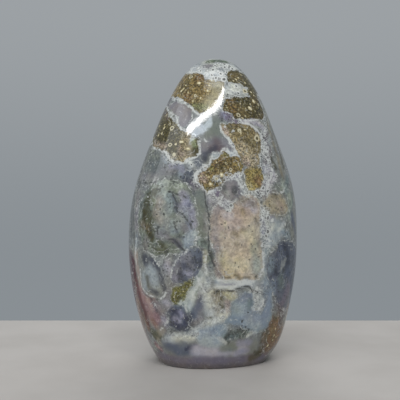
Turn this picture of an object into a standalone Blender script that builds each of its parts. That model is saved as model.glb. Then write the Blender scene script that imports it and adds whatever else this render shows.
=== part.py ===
"""An ocean jasper freeform: one solid, polished stone that stands on a small flat base.

The stone grew as one piece and was ground to a blunt flame, so it is one node. Its form is a stack of
level sections, each close to an ellipse, that swell from the base to the belly and close in a rounded crown.
Metres, +Z up. The origin is on the ground, under the middle of the stone's outline from above. The broad
front faces -Y and +X is to its right.
"""

import math

import bmesh
import bpy
import numpy as np

MM = 0.001

# Driving dimensions, in millimetres and degrees.
HEIGHT = 104.6
SHOULDER_FULLNESS = 0.03  # how far each section stands proud of an ellipse between its axes
BASE_TURN = 12.0  # the base's long axis is turned by this much about +Z
CROWN_TURN = 4.0  # and the crown's by this much

# Sections from the base's rim to just under the crown. Each row is the height, the middle's offset to
# the right, half the width, the middle's offset to the back, and half the depth.
SECTIONS = (
    (0.0, 0.0, 18.7, -0.3, 14.6),
    (1.0, 0.0, 19.6, -0.3, 15.4),
    (3.0, 0.1, 20.9, -0.2, 16.3),
    (6.5, 0.3, 22.9, -0.1, 17.5),
    (12.0, 0.2, 25.0, 0.0, 18.7),
    (22.0, 0.0, 27.5, 0.0, 20.1),
    (33.0, 0.0, 29.1, 0.0, 20.9),
    (44.0, 0.0, 29.4, 0.0, 20.9),
    (55.0, 0.3, 28.5, -0.1, 20.1),
    (66.0, 0.5, 25.7, -0.1, 18.4),
    (76.0, 0.5, 21.9, 0.0, 16.2),
    (85.0, 0.6, 18.4, 0.2, 13.7),
    (92.5, 0.7, 14.9, 0.4, 11.3),
    (98.5, 0.6, 11.1, 0.6, 8.7),
    (102.5, 0.7, 7.1, 0.8, 5.8),
)

# Fineness of the solid: faces around it, and rings of faces from the base's middle to the crown.
AROUND = 72
RINGS = 46
BASE_RINGS = 5  # the rings that the flat base takes

JASPER_GREY = (0.30, 0.29, 0.27, 1.0)
POLISH_ROUGHNESS = 0.1


def climb_at(height):
    """How far up the side a height lies, from 0 at the rim to 1 at the crown.

    Height grows with the square of the climb at both ends, which rounds the lower edge and the crown.
    """
    return 2 / math.pi * math.asin(math.sqrt(height / HEIGHT))


def height_at(climb):
    """The height, in millimetres, at a climb from 0 at the rim to 1 at the crown."""
    return HEIGHT * math.sin(math.pi / 2 * climb) ** 2


def spline_slopes(steps, values):
    """Slopes of the smoothest curve through values at the given steps, with no bend at its two ends."""
    gaps = np.diff(steps)
    count = len(steps)
    system = np.zeros((count, count))
    wanted = np.zeros((count, values.shape[1]))
    system[0, :2] = (2, 1)
    system[-1, -2:] = (1, 2)
    wanted[0] = 3 * (values[1] - values[0]) / gaps[0]
    wanted[-1] = 3 * (values[-1] - values[-2]) / gaps[-1]
    for i in range(1, count - 1):
        system[i, i - 1 : i + 2] = (gaps[i], 2 * (gaps[i - 1] + gaps[i]), gaps[i - 1])
        below = gaps[i] * (values[i] - values[i - 1]) / gaps[i - 1]
        above = gaps[i - 1] * (values[i + 1] - values[i]) / gaps[i]
        wanted[i] = 3 * (below + above)
    return np.linalg.solve(system, wanted)


class Form:
    """The stone's sections, joined by one smooth curve from the rim to the crown."""

    def __init__(self):
        rows = np.array(SECTIONS)
        crown = (rows[-1, 1], 0.0, rows[-1, 3], 0.0)
        self.climbs = np.array([climb_at(height) for height in rows[:, 0]] + [1.0])
        self.values = np.vstack([rows[:, 1:], crown])
        self.slopes = spline_slopes(self.climbs, self.values)

    def section(self, climb):
        """(offset right, half width, offset back, half depth), in millimetres, at a climb."""
        i = int(np.clip(np.searchsorted(self.climbs, climb) - 1, 0, len(self.climbs) - 2))
        gap = self.climbs[i + 1] - self.climbs[i]
        t = (climb - self.climbs[i]) / gap
        start = (1 + 2 * t) * (1 - t) ** 2 * self.values[i] + t * (1 - t) ** 2 * gap * self.slopes[i]
        end = t**2 * (3 - 2 * t) * self.values[i + 1] - t**2 * (1 - t) * gap * self.slopes[i + 1]
        return start + end

    def point(self, around, climb, share=1.0):
        """A point in metres, at an angle around the axis and a climb, at a share of the way out."""
        right, half_width, back, half_depth = self.section(climb)
        fullness = 1 + SHOULDER_FULLNESS * math.sin(2 * around) ** 2
        across = share * fullness * half_width * math.cos(around)
        along = share * fullness * half_depth * math.sin(around)
        turn = math.radians(BASE_TURN + (CROWN_TURN - BASE_TURN) * climb)
        x = right + across * math.cos(turn) - along * math.sin(turn)
        y = back + across * math.sin(turn) + along * math.cos(turn)
        return (x * MM, y * MM, height_at(climb) * MM)


def place_on_form(form, unit):
    """The point of the stone that a point of the unit sphere becomes."""
    around = math.atan2(unit.y, unit.x)
    rise = math.acos(max(-1.0, min(1.0, -unit.z))) / math.pi
    base = BASE_RINGS / RINGS
    if rise < base:
        return form.point(around, 0.0, share=rise / base)
    return form.point(around, (rise - base) / (1 - base))


def polished_jasper():
    """The stone's material."""
    material = bpy.data.materials.new("polished_jasper")
    material.use_nodes = True
    shader = material.node_tree.nodes["Principled BSDF"]
    shader.inputs["Base Color"].default_value = JASPER_GREY
    shader.inputs["Roughness"].default_value = POLISH_ROUGHNESS
    shader.inputs["Metallic"].default_value = 0.0
    return material


def make_stone():
    """The whole stone, shaped from a sphere."""
    form = Form()
    shape = bmesh.new()
    bmesh.ops.create_uvsphere(shape, u_segments=AROUND, v_segments=RINGS, radius=1.0)
    for vertex in shape.verts:
        vertex.co = place_on_form(form, vertex.co)
    bmesh.ops.recalc_face_normals(shape, faces=shape.faces)
    mesh = bpy.data.meshes.new("stone")
    shape.to_mesh(mesh)
    shape.free()
    mesh.shade_smooth()
    mesh.materials.append(polished_jasper())
    return bpy.data.objects.new("stone", mesh)


def main():
    for old in list(bpy.data.objects):
        bpy.data.objects.remove(old)
    collection = bpy.data.collections.new("ocean_jasper_freeform")
    bpy.context.scene.collection.children.link(collection)
    collection.objects.link(make_stone())


main()
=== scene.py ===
"""Looks of a polished ocean jasper freeform that stands on a plain pale floor.

The stone's pattern is laid out in millimetres as four drawings, one for each side. Each drawing is
cast onto the stone from an eye in front of its side. Its distances and colours are kept as attributes of the
stone's points, and the jasper material turns them into fields, rims, veins and orbs.
"""

import logging
import math
from collections.abc import Callable
from dataclasses import dataclass
from dataclasses import field
from enum import Enum

import bpy
import numpy as np
from mathutils import Matrix
from mathutils import Vector
from mathutils import noise


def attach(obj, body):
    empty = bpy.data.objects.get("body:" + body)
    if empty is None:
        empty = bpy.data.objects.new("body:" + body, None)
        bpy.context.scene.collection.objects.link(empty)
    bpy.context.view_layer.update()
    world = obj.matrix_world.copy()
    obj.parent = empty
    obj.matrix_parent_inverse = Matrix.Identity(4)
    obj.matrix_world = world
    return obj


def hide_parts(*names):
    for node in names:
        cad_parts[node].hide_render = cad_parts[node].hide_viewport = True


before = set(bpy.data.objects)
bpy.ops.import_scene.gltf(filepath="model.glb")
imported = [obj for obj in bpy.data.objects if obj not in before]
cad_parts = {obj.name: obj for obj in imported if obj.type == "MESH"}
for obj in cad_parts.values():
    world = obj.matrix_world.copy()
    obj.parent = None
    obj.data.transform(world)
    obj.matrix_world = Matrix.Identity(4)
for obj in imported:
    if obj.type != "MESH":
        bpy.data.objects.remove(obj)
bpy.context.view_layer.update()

LOG = logging.getLogger("ocean_jasper")

MM = 0.001
EYE_DISTANCE = 210.0  # from the stone's axis, in millimetres
EYE_HEIGHT = 51.0
SENSOR_WIDTH = 36.0
LENS = 54.0
FRAME_SHIFT = (-0.0333, 0.03)
BASE_LEVEL = 0.03  # a point of the stone below this height lies on its flat base

Point = tuple[float, float]
Triple = tuple[float, float, float]
Path = tuple[Point, ...]
Edge = tuple[float, float]


class Side(Enum):
    """The stone's four sides: the eye's turn about +Z in degrees, and the side's width for its depth."""

    FRONT = (0.0, 1.4)
    RIGHT = (90.0, 0.7)
    BACK = (180.0, 1.4)
    LEFT = (270.0, 0.7)

    @property
    def turn(self) -> Matrix:
        """The turn from the front to this side."""
        return Matrix.Rotation(math.radians(self.value[0]), 3, "Z")

    @property
    def flattening(self) -> float:
        """How many times wider than deep the stone is, seen from this side."""
        return self.value[1]


class Tone(Enum):
    """Colours of the jasper, as red, green and blue from 0 to 255."""

    SEA_GREY = (128, 130, 127)
    MIST = (158, 160, 157)
    WHITE_LACE = (208, 210, 206)
    IVORY = (244, 236, 208)
    CREAM = (206, 198, 168)
    CREAM_DOT = (196, 184, 142)
    GOLD_BROWN = (114, 98, 62)
    DARK_BROWN = (84, 73, 40)
    OLIVE_BROWN = (82, 75, 47)
    DARK_OLIVE = (60, 56, 28)
    MOSS = (66, 66, 36)
    BOTTLE = (78, 90, 68)
    MOSS_GREEN = (106, 104, 60)
    OLIVE_BEIGE = (132, 117, 82)
    BEIGE = (160, 149, 128)
    SAND = (190, 174, 153)
    HAZE_OLIVE = (165, 158, 132)
    RED_BROWN = (118, 84, 56)
    MAUVE_GREY = (130, 125, 127)
    MAUVE_DARK = (98, 87, 90)
    LILAC = (150, 148, 165)
    LILAC_WHITE = (186, 181, 188)
    PINK_GREY = (176, 158, 148)
    PINK = (152, 112, 112)
    MAROON = (82, 32, 38)
    SLATE = (92, 98, 112)
    SLATE_DARK = (55, 58, 72)
    INDIGO = (50, 52, 75)
    BLUE_GREY = (134, 148, 159)
    PALE_BLUE = (162, 171, 177)
    TEAL_GREY = (100, 115, 112)
    GREEN_GREY = (113, 119, 109)
    PALE_GREEN = (160, 168, 158)
    SAGE = (125, 135, 100)
    YELLOW_OLIVE = (138, 122, 72)
    YELLOW_CREAM = (188, 182, 146)
    RUST = (122, 92, 62)
    PURPLE_GREY = (112, 101, 118)
    CHARCOAL = (62, 64, 62)

    @property
    def linear(self) -> np.ndarray:
        """The tone as scene-linear red, green and blue."""
        shares = np.array(self.value) / 255
        return np.where(shares <= 0.04045, shares / 12.92, ((shares + 0.055) / 1.055) ** 2.4)

    @property
    def opaque(self) -> tuple[float, ...]:
        """The tone as a node's colour, which has a fourth number."""
        return (*self.linear, 1)


class Grain(Enum):
    """Fine structure of the jasper; the value is the name of the attribute that holds its amount."""

    ORBS = "orbs"
    LACE = "lace"
    MOSS = "moss"
    SPECKS = "specks"
    CONTOURS = "contours"
    CLEAR = "clear"


@dataclass(frozen=True)
class Patch:
    """One clearly bounded field of the pattern, drawn as a closed outline in millimetres.

    Args:
        tone: The field's colour.
        outline: Points (right, up) of its outline as the eye sees it.
        rim: Width of the white lace along its edge.
        soft: How wide its colour blends into the ground, to each side of the edge.
        orbs: Amount of gold granules and small orbs inside it, as for every grain below.
        lace: Of pale froth.
        moss: Of dark olive threads.
        specks: Of small dark dots.
        contours: Of lines that follow each other, as in agate.
        clear: How far all of these are calmed.
    """

    tone: Tone
    outline: Path
    rim: float = 0.5
    soft: float = 0.25
    orbs: float = 0.0
    lace: float = 0.0
    moss: float = 0.0
    specks: float = 0.0
    contours: float = 0.0
    clear: float = 0.0

    def amount(self, grain: Grain) -> float:
        """How much of one fine structure the field has."""
        return getattr(self, grain.value)


@dataclass(frozen=True)
class Wash:
    """Soft strokes of one colour along paths, with a dab where a path is one point."""

    tone: Tone
    reach: float
    strength: float
    paths: tuple[Path, ...]


@dataclass(frozen=True)
class Dust:
    """Soft strokes that set the amount of one fine structure."""

    grain: Grain
    amount: float
    reach: float
    paths: tuple[Path, ...]


@dataclass(frozen=True)
class Vein:
    """Thin lines of the pattern, of one width in millimetres."""

    width: float
    paths: tuple[Path, ...]


class OrbKind(Enum):
    """What a single orb looks like: the tones of its core and of its shell."""

    DOT = (Tone.IVORY, Tone.CREAM_DOT)
    RING = (Tone.OLIVE_BROWN, Tone.CREAM)
    HOLE = (Tone.CHARCOAL, Tone.WHITE_LACE)
    BLOB = (Tone.WHITE_LACE, Tone.MIST)
    SPOT = (Tone.CHARCOAL, Tone.CHARCOAL)
    VIOLET = (Tone.SLATE_DARK, Tone.PURPLE_GREY)


@dataclass(frozen=True)
class Orbs:
    """Single orbs of one kind: (right, up, radius) of each, in millimetres."""

    kind: OrbKind
    places: tuple[Triple, ...]


@dataclass(frozen=True)
class Drawing:
    """All that is drawn on one side: ground washes lie under its patches, and field washes in them."""

    side: Side
    patches: tuple[Patch, ...]
    ground: tuple[Wash, ...]
    fields: tuple[Wash, ...]
    dust: tuple[Dust, ...]
    light_veins: tuple[Vein, ...]
    dark_veins: tuple[Vein, ...]
    orbs: tuple[Orbs, ...]


FRONT_PATCHES: tuple[Patch, ...] = (
    # The crown's two brown fields, and the big one under its right shoulder.
    Patch(Tone.GOLD_BROWN, rim=0.6, orbs=0.6, moss=0.3, outline=(
        (-9.6, 99.2), (-7, 100), (-4, 99.3), (-3, 97.8), (0, 97.4), (3.5, 96.6), (3.7, 94), (2.6, 90),
        (0, 87), (-4, 85.7), (-7, 87), (-8.5, 89), (-11, 90.3), (-13.2, 91.4), (-15.6, 91), (-14.8, 93.6),
        (-12.6, 97),
    )),
    Patch(Tone.OLIVE_BROWN, orbs=0.3, moss=0.35, outline=(
        (4.5, 99.5), (7, 100.3), (9.4, 99.9), (11.5, 98.6), (13.8, 95.4), (15.4, 92.4), (12.8, 91.4),
        (12, 92.4), (12.3, 94.2), (10.7, 94.8), (8.5, 96), (6, 96), (4.7, 97),
    )),
    Patch(Tone.DARK_BROWN, orbs=0.5, moss=0.5, outline=(
        (4, 90.5), (6, 91), (10, 91), (12.5, 90.6), (14.3, 92.6), (15.6, 90.4), (17, 87), (17.2, 84),
        (14.5, 83.4), (11, 83.6), (8, 84), (6.5, 85.5), (4, 86.3), (3.5, 88),
    )),
    # A clear grey-mauve field beside the highlight.
    Patch(Tone.MAUVE_GREY, rim=0.3, soft=0.4, clear=0.85, outline=(
        (-15.5, 88.5), (-12, 89.2), (-8.7, 87.8), (-7.7, 86), (-8, 83), (-9.3, 81), (-10.5, 80.5),
        (-11.6, 82.4), (-12.8, 85), (-14.8, 86.2),
    )),
    # The left shoulder's orbs.
    Patch(Tone.OLIVE_BROWN, orbs=0.4, moss=0.45, outline=(
        (-16.5, 87.5), (-15.6, 84.5), (-13.5, 83), (-12, 81), (-10.5, 79.6), (-8, 78.3), (-6, 77.3),
        (-5.2, 75.6), (-4.9, 73.5), (-5.8, 71.4), (-7.8, 69.7), (-9, 69.4), (-9.5, 68.5), (-11.5, 68.2),
        (-14, 68.8), (-15.6, 70.2), (-16.6, 71.8), (-18.5, 73.2), (-21.3, 74), (-20.8, 78), (-19.6, 81),
        (-18, 85),
    )),
    # The right shoulder's olive-beige orbs.
    Patch(Tone.OLIVE_BEIGE, soft=0.5, orbs=0.3, moss=0.3, lace=0.2, outline=(
        (2, 81), (4, 82), (8, 82.3), (11, 81.8), (13.5, 80.3), (15.3, 78.6), (16.6, 76.5), (16.3, 73),
        (16, 70), (16, 67.5), (13, 66.8), (11, 67), (9.6, 69.8), (7.9, 72.6), (6.8, 75), (5, 77.5), (3, 79),
    )),
    # Brown and yellow under the shoulders, and a dark pocket below them.
    Patch(Tone.GOLD_BROWN, rim=0.6, orbs=0.5, moss=0.55, outline=(
        (-5.5, 63.5), (-3.4, 65.8), (-1.5, 67), (-0.6, 69), (1.5, 69.9), (3, 71), (4, 72), (5.2, 70.6),
        (8, 70), (9.8, 68.5), (10.8, 66.5), (10, 64.5), (8, 64.6), (6.5, 63.8), (4.5, 63), (3, 61), (1, 60),
        (-1, 58.5), (-2.5, 58), (-4, 60), (-5.5, 62),
    )),
    Patch(Tone.YELLOW_OLIVE, rim=0.3, soft=0.7, moss=0.4, orbs=0.3, outline=(
        (11.6, 66), (14, 66.7), (16.5, 66), (17.2, 62.5), (16.6, 60), (14.5, 58.3), (12.3, 59), (11.6, 62),
    )),
    Patch(Tone.MAUVE_GREY, rim=0.2, soft=1.2, clear=0.5, specks=0.3, outline=(
        (2.6, 60), (4.6, 62), (7, 62.3), (9.3, 61), (9.8, 58.5), (8.2, 56), (5.5, 55.3), (3.2, 57),
    )),
    # The large oval on the left.
    Patch(
        Tone.GREEN_GREY, rim=0.25, soft=0.7, moss=0.15, lace=0.06, specks=0.3, contours=0.4, clear=0.25,
        outline=(
            (-16.5, 62.6), (-20, 61.5), (-22.5, 59.5), (-24.8, 56), (-26, 52), (-26.4, 48), (-26, 44),
            (-25.2, 40), (-24, 37.5), (-20, 35.8), (-15, 36.2), (-12, 37), (-9, 38), (-6.5, 41), (-6, 46),
            (-6.2, 52), (-7.2, 57), (-9, 60), (-12, 61.2),
        ),
    ),
    # The sandy panel in the middle.
    Patch(Tone.SAND, rim=0.3, soft=0.9, clear=0.3, specks=0.12, contours=0.1, outline=(
        (0, 52.5), (2, 53), (4, 51.6), (5.2, 51), (6.6, 52.4), (7.6, 54.6), (9.5, 56.4), (11.5, 57),
        (14, 56), (16, 54), (16.6, 50), (16.3, 45), (16.6, 40), (17, 36), (17.3, 32), (16, 29.5),
        (15.3, 27.6), (9.5, 27.2), (8, 28), (4, 28.2), (3, 30), (2.1, 32), (1.2, 35), (0.4, 38), (-0.6, 42),
        (-1, 47), (-0.8, 50),
    )),
    Patch(Tone.BEIGE, rim=0.2, soft=1.6, specks=0.4, moss=0.1, clear=0.3, outline=(
        (17.8, 55), (20, 57.5), (23, 57), (25, 55), (26, 52), (25, 50), (22, 50.5), (19.5, 51), (18, 52.5),
    )),
    Patch(Tone.SLATE, rim=0.2, soft=1.2, clear=0.35, specks=0.6, contours=0.2, outline=(
        (18.2, 33), (20, 36), (22, 38), (23, 40.5), (26.5, 41), (29, 38), (29.5, 30), (28, 22), (25, 17),
        (22.5, 19), (20.8, 24), (19.3, 28), (18.3, 31),
    )),
    # Lobes low on the left.
    Patch(Tone.SEA_GREY, rim=0.1, soft=1.4, clear=0.5, moss=0.15, outline=(
        (-25.5, 37), (-24.5, 33), (-25, 30), (-25.2, 26), (-24, 23), (-21, 21.3), (-18.5, 20.6), (-17, 22),
        (-16.2, 25), (-16.8, 28), (-18.5, 31), (-20, 33.5), (-22.5, 36),
    )),
    Patch(Tone.SLATE, rim=0.15, soft=0.9, clear=0.15, specks=0.8, outline=(
        (-9, 38), (-11.5, 36.3), (-13.4, 33), (-14.4, 30), (-14.3, 27.5), (-12.5, 26.5), (-9, 27.5),
        (-6, 28.5), (-4.2, 31), (-3.5, 34), (-3.6, 37), (-5, 38.5), (-7, 38.3),
    )),
    Patch(Tone.MOSS_GREEN, rim=0.2, soft=0.8, moss=0.45, orbs=0.25, outline=(
        (-14.8, 21.5), (-14, 24.5), (-11.5, 25.5), (-9.5, 26.8), (-7.4, 27.8), (-7.3, 26), (-8.7, 24.3),
        (-10, 21.5), (-11.5, 19.5), (-12.8, 18.3), (-14.3, 19.8),
    )),
    Patch(Tone.SLATE, rim=0.1, soft=1.6, clear=0.3, specks=0.5, outline=(
        (-15.4, 17), (-12, 18), (-10, 17), (-8.8, 13), (-9, 10.8), (-10.6, 9.6), (-13.5, 9.8), (-15, 11),
        (-15.6, 14),
    )),
    # Fields low on the right.
    Patch(Tone.BLUE_GREY, rim=0.1, soft=1, clear=0.8, contours=0.1, outline=(
        (6.3, 19), (8.5, 20.5), (10.5, 22), (13.2, 22.3), (14, 19), (13.5, 17), (17, 15.5), (18.5, 19),
        (20, 25), (20.8, 19), (20, 12), (17, 9.5), (13.5, 9.6), (9, 11), (4, 11.5), (0.5, 9.6), (4.4, 13.6),
        (5.6, 16),
    )),
    Patch(Tone.RUST, rim=0.05, soft=2, moss=0.4, orbs=0.15, outline=(
        (20, 12.6), (21.6, 14.4), (23.6, 13.4), (24.8, 9), (23, 4.6), (20.5, 2.8), (18.2, 2), (17.4, 4.5),
        (17.8, 8), (19, 10.5),
    )),
)

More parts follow.
